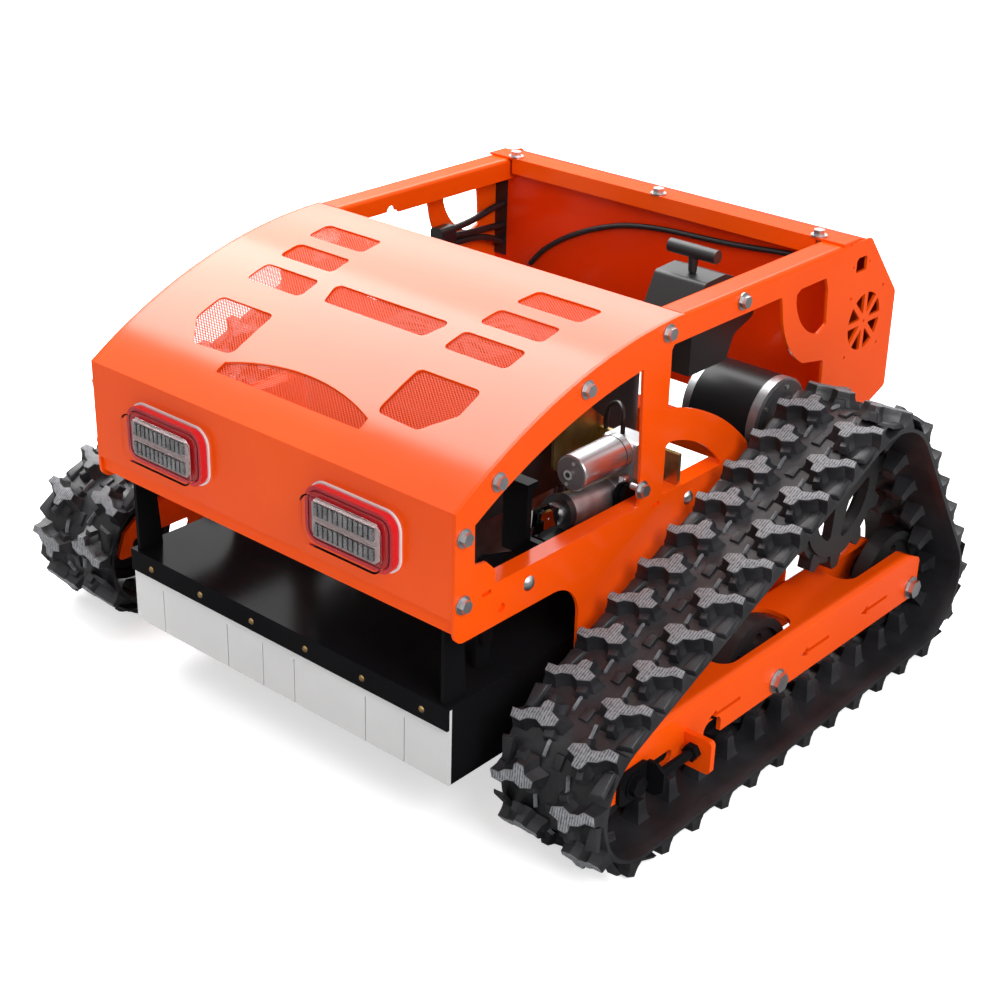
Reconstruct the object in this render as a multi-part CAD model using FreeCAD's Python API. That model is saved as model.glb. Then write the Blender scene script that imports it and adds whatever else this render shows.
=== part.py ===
import FreeCAD, Part
import math
import os

Vector = FreeCAD.Vector
os.makedirs("parts", exist_ok=True)

# While modelling, X points to the right plate, Y from the front panel to the rear and Z up
# from the ground. The finished pieces move so that Y is zero at mid length.

# Side plates, cut from one sheet and folded inwards along the top
plate_length = 890.0
plate_top = 562.0
plate_face = 303.0
plate_sheet = 4.0
sheet_gap = 0.2
overrun = 20.0
plate_shares = (
    (0, 0.5053, 0.0285), (0, 0.7883, 0, 0.2135, 0.9466), (0.4337, 1, 0), (0.8483, 1, 0),
    (0.9056, 0.9929, 0), (0.9966, 0.8292, 0.0178), (1, 0.5801, 0.0142), (0.9596, 0.5569, 0.0178),
    (0.8652, 0.306, 0.0534), (0.2416, 0.306, 0.0356), (0.2416, 0.5053, 0.0854),
)
front_window_shares = (
    (0.0348, 0.6619, 0), (0.0337, 0.7473, 0, 0.1775, 0.8523), (0.3528, 0.9146, 0),
    (0.3629, 0.5996, 0.0107), (0.073, 0.5996, 0.0071), (0.073, 0.6299, 0), (0.0562, 0.6566, 0),
)
top_window_shares = (
    (0.4124, 0.9306, 0), (0.4169, 0.9413, 0.0053), (0.6697, 0.9413, 0.0089),
    (0.6753, 0.9057, 0, 0.7056, 0.8007), (0.7438, 0.7527, 0), (0.8011, 0.7349, 0.0107),
    (0.8056, 0.605, 0.0089), (0.6157, 0.605, 0.0071), (0.6135, 0.6228, 0, 0.5292, 0.7278),
    (0.4135, 0.7989, 0),
)
round_window_shares = (
    (0.7191, 0.9413, 0), (0.7854, 0.9413, 0.0071), (0.7933, 0.911, 0), (0.7978, 0.8238, 0.0071),
    (0.7775, 0.8096, 0, 0.727, 0.8577), (0.709, 0.911, 0), (0.709, 0.9324, 0),
)
low_window_shares = (
    (0.4135, 0.5996, 0.0071), (0.4135, 0.7153, 0.0107), (0.427, 0.7189, 0, 0.5034, 0.6708),
    (0.5494, 0.6068, 0), (0.5483, 0.5996, 0),
)
inlet_shares = (
    (0.8685, 0.9199, 0), (0.8978, 0.9199, 0), (0.8978, 0.9484, 0), (0.8933, 0.9555, 0),
    (0.873, 0.9555, 0), (0.8685, 0.9484, 0),
)

# Folded rail along the top of each side plate
rail_start = 388.0
rail_end = 755.0
rail_width = 38.0
rail_lip = 30.0
rail_bend = 6.0
rail_step = 4.0
rail_step_length = 114.0
rail_notch_radius = 8.0
rail_notch_place = 100.0

# Round fan vent with its screw holes, the inlet's screw holes and the tab slots
vent_y_share, vent_z_share = 0.909, 0.7865
vent_radius = 40.0
vent_hub_radius = 13.0
vent_spoke = 8.0
vent_count = 8
vent_pitch = 82.5
vent_hole_radius = 2.2
inlet_y_share, inlet_z_share = 0.8831, 0.9377
inlet_pitch = 40.0
inlet_hole_radius = 1.75
tab_slot_length = 15.0
tab_slot_height = 5.0
tab_slot_shares = ((0.0579, 0.5872), (0.4, 0.5854))
drain_radius = 5.5
drain_shares = (0.0865, 0.5374)

# Sill tubes behind the plates, a flat bar in front and a square tube at the rear
sill_width = 21.0
sill_height = 40.0
sill_wall = 2.5
sill_top = 336.0
sill_length = 470.0
bar_thick = 10.0
bar_stand = 4.0
bar_tall = 17.0
sill_start = 32.0
cross_size = 40.0
cross_wall = 3.0
cross_y = 740.0
cross_z = 235.0

# Curved hood with its front panel, and the grille sheet under its openings
hood_sheet = 2.0
hood_bottom = 315.0
hood_flange = 30.0
grille_sheet = 1.2
grille_half = 236.0
grille_start = 36.0
grille_end = 345.0
hood_slot_shares = (
    ((0.3894, 0.1989, 0.009), (0.396, 0.2404, 0.009), (0.7063, 0.2404, 0.009), (0.7063, 0.1989, 0.009)),
    ((0.3993, 0.264, 0.009), (0.4092, 0.3045, 0.009), (0.7129, 0.3045, 0.009), (0.7129, 0.264, 0.009)),
    ((0.4158, 0.3292, 0.009), (0.429, 0.3742, 0.009), (0.7525, 0.3742, 0.009), (0.7393, 0.3292, 0.009)),
)
hood_side_shares = (
    (0.396, 0.0764, 0.0112), (0.396, 0.1551, 0.009), (0.7096, 0.1551, 0.0112),
    (0.7162, 0.1101, 0.0135), (0.6106, 0.073, 0.0112),
)
hood_mid_shares = (
    (-0.2706, 0.2056, 0.009), (-0.3135, 0.2461, 0.009), (0.3135, 0.2461, 0.009),
    (0.2706, 0.2056, 0.009),
)
hood_lens_shares = (
    (-0.396, 0.0472, 0.0045), (-0.3927, 0.064, 0, 0, 0.0888), (0.3927, 0.064, 0),
    (0.396, 0.0472, 0.0045),
)

# Hex bolts with washers
bolt_radius = 4.0
bolt_head_radius = 8.0
bolt_head = 6.5
washer_radius = 11.0
washer_thick = 2.0
hood_bolt_shares = (
    (0.0135, 0.7331), (0.0135, 0.5907), (0.073, 0.8167), (0.236, 0.927), (0.4011, 0.9733),
    (0.5697, 0.9733), (0.364, 0.6406),
)
cover_bolt_shares = (-0.855, 0.0, 0.855)
bolt_reach = 14.0

# Head lamps on the front panel
lamp_place = 156.0
lamp_height = 378.0
lamp_width = 140.0
lamp_tall = 76.0
lamp_corner = 22.0
gasket_thick = 2.5
lamp_base = 9.5
lamp_stand = 25.0
lens_inset = 7.0
lens_wall = 2.0
led_rows = 2
led_height = 9.0
led_length = 96.0
led_pitch = 18.0
led_stand = 3.0

# Bulkhead, rear cover and rear tray
bulkhead_face = 748.0
bulkhead_sheet = 3.0
bulkhead_bottom = 300.0
cable_gap_width = 22.0
cable_gap_low, cable_gap_high = 410.0, 528.0
cover_sheet = 3.0
cover_front = 735.0
cover_lip = 23.0
cover_back_shares = (
    (0.8652, 1.0053), (0.9011, 0.9911), (0.991, 0.8274), (0.9933, 0.5872),
)
tray_bottom = 326.0
tray_sheet = 4.0

# Battery and motor controller in the rear bay
battery_width, battery_depth, battery_tall = 280.0, 84.0, 104.0
battery_middle = -60.0
battery_gap = 10.0
terminal_radius = 7.0
terminal_tall = 9.0
controller_width, controller_depth, controller_tall = 120.0, 84.0, 50.0
controller_middle = 200.0
controller_fin = 3.0
controller_fins = 7
controller_fin_tall = 12.0

# Travel gear motors behind the upper windows
motor_y, motor_z = 652.0, 338.0
motor_radius = 60.0
motor_length = 90.0
motor_face = 270.0
bell_radius = 54.0
bell_length = 15.0
bell_bolts = 6
bell_bolt_radius = 3.5
gear_radius = 67.0
gear_depth = 18.0
boss_radius = 46.0
bearing_clearance = 0.05

# Rubber tracks
track_middle = 400.0
track_width = 150.0
belt_thick = 8.0
belt_pitch = 60.0
sprocket_teeth = 11
lug_height = 18.0
lug_sink = 7.5
path_rise = 9.0
path_half = 13.0
belt_turn = 0.0
left_outset = 49.0
pad_length = 30.0
pad_width = 20.0
pad_height = 6.0
wheel_radius = 69.6
wheel_gap = 0.4
axle_height = lug_height + belt_thick + path_rise + wheel_gap + wheel_radius
front_axle_y, mid_axle_y, rear_axle_y = 143.0, 440.0, 769.0
sprocket_y, sprocket_z = 615.5, 286.6
horn_height = 27.0
horn_length = 24.0
horn_tip = 13.0
horn_width = 23.0
horn_place = 24.5
pocket_length = 28.0
pocket_width = 28.0
pocket_depth = 6.0
lug_shares = ((-0.04, -0.10, 0), (0.30, -0.22, 0), (0.62, -0.02, 0), (1.0, -0.16, 0),
              (1.0, 0.14, 0), (0.62, 0.26, 0), (0.40, 0.16, 0), (0.34, 0.46, 0),
              (0.06, 0.46, 0), (0.08, 0.14, 0), (-0.04, 0.18, 0))

# Sprockets and their shafts
tooth_height = 21.4
tooth_base = 26.0
tooth_tip = 14.0
tooth_clearance = 1.6
sprocket_disc = 22.0
sprocket_hub_radius = 30.0
sprocket_hub_length = 44.0
sprocket_windows = 5
window_inner = 38.0
window_outer = 62.0
window_arm = 28.0
shaft_radius = 12.5
shaft_collar = 20.0
shaft_flange = 6.0

# Track wheels
wheel_width = 22.0
wheel_rim = 12.0
wheel_web = 9.0
wheel_holes = 5
wheel_hole_radius = 9.0
wheel_hub_radius = 20.0
wheel_side_gap = 1.0
mid_slot_front, mid_slot_rear, mid_slot_half = 345.0, 501.0, 29.0
rear_slot_front, rear_slot_half = 632.0, 24.0
slot_corner = 22.0
axle_radius = 8.0

# Track frames, folded channels open downwards
frame_width = 88.0
frame_sheet = 6.0
frame_top = 159.0
frame_bend = 9.0
frame_shares = (
    (0.1034, 0.5625, 0.0375), (0.1191, 0.8, 0), (0.1685, 1, 0.0875), (0.8472, 1, 0.0625),
    (0.8831, 0.9125, 0.0625), (0.8831, 0.55, 0.075),
)
recess_length = 36.0
recess_height = 24.0
recess_y = 303.0
arrow_length = 66.0
arrow_head = 16.0
arrow_wide = 13.0
arrow_stem = 5.0
arrow_shares = (0.367, 0.592, 0.755)
arrow_lift = 12.0
slot_rear_reach = 78.0
slot_front_reach = 16.0
slot_play = 0.3
lug_plate_y = 244.0
lug_plate_thick = 8.0
lug_plate_width = 39.0
lug_plate_tall = 44.0
lug_plate_drop = 24.0

# Stubs that carry the track frames on the side plates
stub_length = 54.0
stub_low, stub_high = 122.0, 198.0
stub_places = (262.0, 560.0)
stub_wall = 5.0

# Tension forks on the front axles
fork_thick = 5.0
fork_web = 24.0
fork_front, fork_rear = 26.0, 28.0
fork_half = 21.0
fork_corner = 9.0
rod_radius = 6.0
rod_out = 15.0
rod_end = 272.0
rod_nut = 11.0
rod_nut_height = 9.0
rod_play = 1.0

# Mower deck
deck_half = 277.0
deck_front, deck_rear = 20.0, 640.0
deck_top, deck_bottom = 185.0, 80.0
deck_sheet = 4.0
deck_corner = 14.0
clamp_tall = 30.0
skirt_thick = 4.0
skirt_slits = (-221.0, -98.0, -33.0, 23.0, 144.0, 207.0)
slit_width = 1.6
slit_tall = 62.0
screw_places = (-237.5, -142.5, -47.5, 47.5, 142.5, 237.5)
screw_radius = 5.0
screw_stand = 2.5

# Lifting arms, drop link, bell crank and linear actuator
arm_length = 90.0
arm_rise = 16.1
arm_inset = 1.0
arm_thick = 6.0
arm_half = 12.0
pivot_radius = 8.0
pivot_height = 314.0
front_pivot_y, rear_pivot_y = 123.0, 424.0
pin_head_radius = 11.0
pin_head = 5.0
bracket_thick = 5.0
bracket_gap = 2.0
bracket_half = 12.5
open_play = 0.4
crank_x = 240.0
crank_thick = 6.0
rod_pin_y, rod_pin_z = 222.0, 337.7
crank_arm = 48.0
crank_lean = 22.5
link_foot_height = 225.0
link_thick = 6.0
link_gap = 1.0
link_half = 9.0
link_pin = 5.0
rod_pin_play = 2.2
cheek_gap = 14.0
cheek_thick = 6.0
mast_y, mast_thick, mast_top, mast_half = 169.6, 8.0, 403.0, 18.0
mast_bottom = 313.0
actuator_slope = 6.4
tube_front = 25.0
tube_length = 136.0
tube_radius = 21.0
rod_size = 10.0
rod_length = 120.0
clevis_length = 32.0
clevis_web = 3.0
clevis_width = 18.0
clevis_tall = 22.0
clevis_slot = 8.0
gear_block_y, gear_block_length = 360.0, 43.0
gear_block_half = 25.0
gear_block_low, gear_block_high = 297.0, 392.0
drive_radius = 22.5
drive_y, drive_z, drive_cap = 272.0, 378.0, 3.0
strut_thick = 6.0
strut_top = 377.0
gold_plate_x, gold_plate_thick = 178.0, 4.0
gold_plate_shares = (
    (0.3528, 0.6192, 0.0107), (0.3528, 0.7295, 0), (0.4292, 0.7295, 0), (0.4596, 0.6904, 0),
    (0.4596, 0.5996, 0), (0.3708, 0.5996, 0),
)

# Engine on the deck
crank_y = 330.0
case_half = 105.0
case_top = 300.0
case_corner = 40.0
foot_thick = 12.0
foot_reach = 15.0
cylinder_half = 62.0
cylinder_rear = 556.0
cylinder_low, cylinder_high = 225.0, 300.0
fin_count = 7
fin_thick = 4.0
fin_reach = 12.0
shroud_half = 150.0
shroud_front, shroud_rear = 180.0, 560.0
shroud_top = 430.0
shroud_corner = 60.0
recoil_radius = 120.0
recoil_tall = 44.0
recoil_slots = 18
recoil_slot_width = 7.0
tower_inner, tower_outer = 158.0, 235.0
tower_shares = (
    (0.9018, 0.7651, 0), (0.9018, 0.8986, 0.0107), (0.9393, 0.9733, 0.0142),
    (1.0143, 0.9769, 0.0142), (1.0536, 0.9626, 0.0178), (1.1464, 0.9253, 0.0142),
    (1.1464, 0.847, 0.0178), (1.0714, 0.8221, 0.0356), (1.0464, 0.7651, 0),
)
tower_foot = 50.0
tower_foot_thick = 14.0
handle_x, handle_y = 200.0, 547.0
bar_radius = 8.8
bar_length = 72.0
bar_rise = 27.0
rope_radius = 2.0
rope_play = 1.0
rope_length = 50.0
handle_gap = 0.5

# Blade and its boss
blade_length = 530.0
blade_width = 60.0
blade_thick = 5.0
blade_height = 98.0
blade_wing = 90.0
blade_wing_lift = 12.0
boss_size = 34.0
boss_top = 172.0
blade_bolt = 8.0
crank_radius = 14.0
crank_depth = 36.0

# Cables: routes as chosen, sizes here
bulkhead_cable_radius = 4.0
actuator_cable_radius = 3.0
bulkhead_cable_route = ((-225, 743.7, 410), (-201, 743.7, 437), (-169, 743.7, 460),
                        (-134, 743.7, 479), (-96, 743.7, 495), (-58, 743.7, 507),
                        (-18, 743.7, 514), (24, 743.7, 518), (69, 743.7, 519.5),
                        (114, 743.7, 521.5), (159, 743.7, 525), (204, 743.7, 529.5),
                        (244, 743.7, 532.5))
upper_cable_route = ((-284, 634, 474), (-284, 654, 475), (-284, 680, 477.5), (-284, 706, 483),
                     (-284, 728, 487.5), (-284, 746, 489))
middle_cable_route = ((-284, 634, 462.5), (-284, 655, 461.5), (-284, 682, 459.5), (-284, 707, 458),
                      (-284, 728, 457.2), (-284, 746, 455.5))
lower_cable_route = ((-284, 634, 451), (-284, 655, 451.5), (-284, 682, 450), (-284, 707, 445.5),
                     (-284, 728, 438), (-284, 746, 429))
loom_cable_radius = 5.0
corner_leave = 0.5
sleeve_length = 30.0
sleeve_corner = 7.0
grommet_lap = 2.0
actuator_cable_route = ((231, 379, 392), (231, 379, 406), (225.5, 385, 418), (213, 393.5, 423),
                        (199, 400.5, 416), (188.5, 404.5, 406), (185, 406, 392), (185, 406, 377))


# Shapes in common use
def box(x0, x1, y0, y1, z0, z1):
    return Part.makeBox(x1 - x0, y1 - y0, z1 - z0, Vector(x0, y0, z0))


def rod_x(radius, x0, x1, y, z):
    return Part.makeCylinder(radius, x1 - x0, Vector(x0, y, z), Vector(1, 0, 0))


def rod_y(radius, y0, y1, x, z):
    return Part.makeCylinder(radius, y1 - y0, Vector(x, y0, z), Vector(0, 1, 0))


def rod_z(radius, z0, z1, x, y):
    return Part.makeCylinder(radius, z1 - z0, Vector(x, y, z0), Vector(0, 0, 1))


def hexagon_x(radius, x0, x1, y, z):
    corners = [(y + radius * math.cos(math.radians(a)), z + radius * math.sin(math.radians(a)), 0)
               for a in range(0, 360, 60)]
    return slab_x(corners, x0, x1)


def scaled(table, size_a, size_b):
    sizes = (size_a, size_b, size_b, size_a, size_b)
    return [tuple(value * size for value, size in zip(row, sizes)) for row in table]


def outline(points, place):
    """Closed face from corners (a, b, radius); a row's last two values bend the way onward."""
    count = len(points)
    starts, ends, edges = [], [], []
    for i, point in enumerate(points):
        a, b, radius = point[:3]
        if radius <= 0:
            starts.append((a, b))
            ends.append((a, b))
            continue
        before, after = points[i - 1], points[(i + 1) % count]
        ua, ub = before[0] - a, before[1] - b
        va, vb = after[0] - a, after[1] - b
        u_len, v_len = math.hypot(ua, ub), math.hypot(va, vb)
        ua, ub, va, vb = ua / u_len, ub / u_len, va / v_len, vb / v_len
        half = math.acos(max(-1.0, min(1.0, ua * va + ub * vb))) / 2
        cut = radius / math.tan(half)
        wa, wb = ua + va, ub + vb
        w_len = math.hypot(wa, wb)
        reach = radius / math.sin(half) - radius
        middle = (a + wa / w_len * reach, b + wb / w_len * reach)
        starts.append((a + ua * cut, b + ub * cut))
        ends.append((a + va * cut, b + vb * cut))
        edges.append(Part.Arc(place(*starts[i]), place(*middle), place(*ends[i])).toShape())
    for i, point in enumerate(points):
        first, last = place(*ends[i]), place(*starts[(i + 1) % count])
        if len(point) == 5:
            edges.append(Part.Arc(first, place(point[3], point[4]), last).toShape())
        elif first.distanceToPoint(last) > 1e-6:
            edges.append(Part.LineSegment(first, last).toShape())
    return Part.Face(Part.Wire(Part.__sortEdges__(edges)))


def slab_x(points, x0, x1):
    return outline(points, lambda a, b: Vector(x0, a, b)).extrude(Vector(x1 - x0, 0, 0))


def slab_y(points, y0, y1):
    return outline(points, lambda a, b: Vector(a, y0, b)).extrude(Vector(0, y1 - y0, 0))


def slab_z(points, z0, z1):
    return outline(points, lambda a, b: Vector(a, b, z0)).extrude(Vector(0, 0, z1 - z0))


def rounded(a0, a1, b0, b1, radius):
    return [(a0, b0, radius), (a1, b0, radius), (a1, b1, radius), (a0, b1, radius)]


def link_x(y0, z0, y1, z1, half, x0, x1):
    """Flat link bar with round ends between two pin centres."""
    length = math.hypot(y1 - y0, z1 - z0)
    uy, uz = (y1 - y0) / length * half, (z1 - z0) / length * half
    points = [(y0 + uz, z0 - uy, 0), (y1 + uz, z1 - uy, 0, y1 + uy, z1 + uz),
              (y1 - uz, z1 + uy, 0), (y0 - uz, z0 + uy, 0, y0 - uy, z0 - uz)]
    return slab_x(points, x0, x1)


def mirrored(shape):
    return shape.mirror(Vector(0, 0, 0), Vector(1, 0, 0))


def both_sides(shapes):
    return shapes + [mirrored(shape) for shape in shapes]


def outset(shape):
    """Left-hand copy of a piece of the right track, which stands a little further out."""
    shape = mirrored(shape)
    shape.translate(Vector(-left_outset, 0, 0))
    return shape


def united(shapes):
    return shapes[0].multiFuse(shapes[1:]).removeSplitter() if len(shapes) > 1 else shapes[0]


def without(shape, cutters):
    return shape.cut(Part.makeCompound(cutters)) if cutters else shape


def arc_centre(p, q, r):
    """Centre and radius of the circle through three flat points."""
    (ax, ay), (bx, by), (cx, cy) = p, q, r
    d = 2 * (ax * (by - cy) + bx * (cy - ay) + cx * (ay - by))
    sa, sb, sc = ax * ax + ay * ay, bx * bx + by * by, cx * cx + cy * cy
    x = (sa * (by - cy) + sb * (cy - ay) + sc * (ay - by)) / d
    y = (sa * (cx - bx) + sb * (ax - cx) + sc * (bx - ax)) / d
    return x, y, math.hypot(ax - x, ay - y)


pieces = {}

# Side plates: sheet, rail fold, windows, fan vent, screw holes
plate_inner = plate_face - plate_sheet
plate_points = scaled(plate_shares, plate_length, plate_top)
plate = slab_x(plate_points, plate_inner, plate_face)
rail_low = plate_top - rail_lip
plate = plate.cut(box(plate_inner - overrun, plate_face + overrun, rail_start, rail_end,
                      plate_top - rail_bend - plate_sheet, plate_top + overrun))
rail_inner = plate_face - rail_width
rail = slab_y([(plate_face, rail_low, 0), (plate_face, plate_top, rail_bend),
               (rail_inner, plate_top, rail_bend), (rail_inner, rail_low, 0),
               (rail_inner + plate_sheet, rail_low, 0),
               (rail_inner + plate_sheet, plate_top - plate_sheet, rail_bend - plate_sheet),
               (plate_inner, plate_top - plate_sheet, rail_bend - plate_sheet),
               (plate_inner, rail_low, 0)], rail_start, rail_end)
rail = without(rail, [
    box(rail_inner - overrun, rail_inner + plate_sheet, rail_start - overrun,
        rail_start + rail_step_length, rail_low - overrun, rail_low + rail_step),
    rod_x(rail_notch_radius, rail_inner - overrun, rail_inner + plate_sheet,
          rail_start + rail_notch_place, rail_low + rail_step)])
plate = united([plate, rail])
vent_y, vent_z = vent_y_share * plate_length, vent_z_share * plate_top


def ring_windows(y, z, inner, outer, arm, count, x0, x1):
    """Cutters for a ring of windows between straight arms of one width."""
    def at(radius, angle):
        return (y + radius * math.cos(angle), z + radius * math.sin(angle))

    cutters = []
    for k in range(count):
        middle = 2 * math.pi * (k + 1 / 2) / count
        wide = math.pi / count - math.asin(arm / 2 / outer)
        narrow = math.pi / count - math.asin(arm / 2 / inner)
        cutters.append(slab_x([
            (*at(inner, middle - narrow), 0),
            (*at(outer, middle - wide), 0, *at(outer, middle)),
            (*at(outer, middle + wide), 0),
            (*at(inner, middle + narrow), 0, *at(inner, middle))], x0, x1))
    return cutters


vent_cuts = ring_windows(vent_y, vent_z, vent_hub_radius, vent_radius, vent_spoke, vent_count,
                         plate_inner - overrun, plate_face + overrun)
hole_places = [(vent_y + i * vent_pitch / 2, vent_z + j * vent_pitch / 2, vent_hole_radius)
               for i in (-1, 1) for j in (-1, 1)]
hole_places.append((vent_y, vent_z, vent_hole_radius))
inlet_y, inlet_z = inlet_y_share * plate_length, inlet_z_share * plate_top
hole_places += [(inlet_y + i * inlet_pitch / 2, inlet_z, inlet_hole_radius) for i in (-1, 1)]
hole_places.append((drain_shares[0] * plate_length, drain_shares[1] * plate_top, drain_radius))
hole_places += [(pin_y, pivot_height, pivot_radius) for pin_y in (front_pivot_y, rear_pivot_y)]
hole_places.append((sprocket_y, sprocket_z, shaft_radius + shaft_flange))
bolt_places = scaled(hood_bolt_shares, plate_length, plate_top)
hole_places += [(y, z, bolt_radius) for y, z in bolt_places]
windows = [scaled(table, plate_length, plate_top) for table in (
    front_window_shares, top_window_shares, round_window_shares, low_window_shares, inlet_shares)]
plate_cuts = [slab_x(points, plate_inner - overrun, plate_face + overrun) for points in windows]
plate_cuts += [rod_x(radius, plate_inner - overrun, plate_face + overrun, y, z)
               for y, z, radius in hole_places]
for share_y, share_z in tab_slot_shares:
    slot_y, slot_z = share_y * plate_length, share_z * plate_top
    plate_cuts.append(box(plate_inner - overrun, plate_face + overrun,
                          slot_y - tab_slot_length / 2, slot_y + tab_slot_length / 2,
                          slot_z - tab_slot_height / 2, slot_z + tab_slot_height / 2))
cover_bolt_y = bulkhead_face - bolt_radius - sheet_gap
cover_bolts_x = [share * plate_face for share in cover_bolt_shares]
rail_holes = [rod_z(bolt_radius, rail_low, plate_top + overrun, x, cover_bolt_y)
              for x in cover_bolts_x if x > 0]
plate = without(plate, plate_cuts + vent_cuts + rail_holes)
pieces["side_plate_right"] = [plate]
pieces["side_plate_left"] = [mirrored(plate)]

# Sill tubes behind the plates, with holes for the pivots and the sill bolt
sill_inner = plate_inner - sill_width
sill_front = sill_start
sill_low = sill_top - sill_height
sill = box(sill_inner, plate_inner, sill_front, sill_front + sill_length, sill_low, sill_top)
sill_cuts = [box(sill_inner + sill_wall, plate_inner - sill_wall, sill_front - overrun,
                 sill_front + sill_length + overrun, sill_low + sill_wall, sill_top - sill_wall)]
sill_cuts += [rod_x(pivot_radius, sill_inner - overrun, plate_face, y, pivot_height)
              for y in (front_pivot_y, rear_pivot_y)]
pieces["sill_tubes"] = both_sides([without(sill, sill_cuts)])

# Flat bar in front and square tube at the rear, welded between the plates
front_bar = box(-plate_inner, plate_inner, bar_stand, bar_stand + bar_thick, sill_low,
                sill_low + bar_tall)
cross_half = cross_size / 2
cross_tube = slab_x(rounded(cross_y - cross_half, cross_y + cross_half, cross_z - cross_half,
                            cross_z + cross_half, cross_wall), -plate_inner, plate_inner)
cross_bore = cross_half - cross_wall
cross_tube = cross_tube.cut(box(-plate_face, plate_face, cross_y - cross_bore, cross_y + cross_bore,
                                cross_z - cross_bore, cross_z + cross_bore))
pieces["cross_members"] = [front_bar, cross_tube]

# Hood: front panel, arched top with openings, flanges inside the plates
hood_half = plate_inner - sheet_gap
hood_low = plate_points[1][:2]
hood_mid = plate_points[1][3:]
hood_top = plate_points[2][:2]
arch = arc_centre(hood_low, hood_mid, hood_top)


def arch_band(depth_out, depth_in, y_start, y_end):
    """Band under the hood's arch between two depths, from one Y to another."""
    def at(y, depth):
        radius = arch[2] - depth
        return (y, arch[1] + math.sqrt(radius * radius - (y - arch[0]) ** 2))
    y_mid = (y_start + y_end) / 2
    return [(*at(y_start, depth_out), 0, *at(y_mid, depth_out)), (*at(y_end, depth_out), 0),
            (*at(y_end, depth_in), 0, *at(y_mid, depth_in)), (*at(y_start, depth_in), 0)]


hood_rear = hood_top[0]
hood_skin = slab_x(arch_band(0, hood_sheet, 0, hood_rear), -hood_half, hood_half)
front_panel = box(-hood_half, hood_half, 0, hood_sheet, hood_bottom, hood_low[1])
rear_flange = box(-hood_half, hood_half, hood_rear - hood_sheet, hood_rear,
                  hood_top[1] - hood_flange / 2, hood_top[1] - hood_sheet / 2)
side_flange = slab_x(arch_band(0, hood_flange, 0, hood_rear), hood_half - hood_sheet, hood_half)
front_flange = box(hood_half - hood_sheet, hood_half, 0, hood_flange, hood_bottom, hood_low[1])
hood = united([hood_skin, front_panel, rear_flange, side_flange, front_flange,
               mirrored(side_flange), mirrored(front_flange)])
hood_cuts = []
for table in hood_slot_shares + (hood_side_shares,):
    opening = slab_z(scaled(table, plate_face, plate_length), hood_low[1] - overrun,
                     plate_top + overrun)
    hood_cuts += [opening, mirrored(opening)]
for table in (hood_mid_shares, hood_lens_shares):
    hood_cuts.append(slab_z(scaled(table, plate_face, plate_length), hood_low[1] - overrun,
                            plate_top + overrun))
hood_hole = [rod_x(bolt_radius, -plate_face, plate_face, y, z) for y, z in bolt_places[:5]]
pieces["hood"] = [without(hood, hood_cuts + hood_hole)]

# Grille sheet under the hood, behind its openings
grille = slab_x(arch_band(hood_sheet, hood_sheet + grille_sheet, grille_start, grille_end),
                -grille_half, grille_half)
pieces["hood_mesh"] = [grille]

# Head lamps: gasket, red body with two rows of lights, clear lens
lamp_low, lamp_high = lamp_height - lamp_tall / 2, lamp_height + lamp_tall / 2


def lamp_slab(inset, y0, y1):
    half = lamp_width / 2 - inset
    return slab_y(rounded(lamp_place - half, lamp_place + half, lamp_low + inset,
                          lamp_high - inset, lamp_corner - inset), y0, y1)


gasket = lamp_slab(0, -gasket_thick, 0)
lamp_body = lamp_slab(hood_sheet, -gasket_thick - lamp_base, -gasket_thick)
led_bars = []
for row in range(led_rows):
    led_z = lamp_height + (row - (led_rows - 1) / 2) * led_pitch
    led_bars.append(box(lamp_place - led_length / 2, lamp_place + led_length / 2,
                        -gasket_thick - lamp_base - led_stand, -gasket_thick - lamp_base,
                        led_z - led_height / 2, led_z + led_height / 2))
lamp_body = united([lamp_body] + led_bars)
lens = lamp_slab(lens_inset, -lamp_stand, -gasket_thick - lamp_base)
lens = lens.cut(lamp_slab(lens_inset + lens_wall, -lamp_stand + lens_wall,
                          -gasket_thick - lamp_base))
pieces["light_gaskets"] = both_sides([gasket])
pieces["light_housings"] = both_sides([lamp_body])
pieces["light_lenses"] = both_sides([lens])

# Bulkhead, rear tray and rear cover
bulkhead = box(-plate_inner, plate_inner, bulkhead_face, bulkhead_face + bulkhead_sheet,
               bulkhead_bottom, plate_top)
bulkhead = bulkhead.cut(box(-plate_face, -plate_inner + cable_gap_width, bulkhead_face - overrun,
                            bulkhead_face + overrun, cable_gap_low, cable_gap_high))
rail_corner = box(rail_inner - sheet_gap, plate_face, bulkhead_face - overrun,
                  bulkhead_face + overrun, rail_low - sheet_gap, plate_top + overrun)
pieces["bulkhead"] = [without(bulkhead, both_sides([rail_corner]))]
tray_front = bulkhead_face + bulkhead_sheet
cover_back = scaled(cover_back_shares, plate_length, plate_top)
tray = box(-plate_inner, plate_inner, tray_front, cover_back[-1][0], tray_bottom,
           tray_bottom + tray_sheet)
pieces["rear_tray"] = [tray]


def sheet_profile(line, thick):
    """Closed corner list for a folded sheet along a flat line, thickened to its right side."""
    inner = []
    for i, (a, b) in enumerate(line):
        normals = []
        for j in (i - 1, i):
            if 0 <= j < len(line) - 1:
                da, db = line[j + 1][0] - line[j][0], line[j + 1][1] - line[j][1]
                length = math.hypot(da, db)
                normals.append((db / length, -da / length))
        na = sum(n[0] for n in normals) / len(normals)
        nb = sum(n[1] for n in normals) / len(normals)
        grow = thick / (na * na + nb * nb)
        inner.append((a + na * grow, b + nb * grow))
    return [(a, b, 0) for a, b in list(line) + inner[::-1]]


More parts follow.
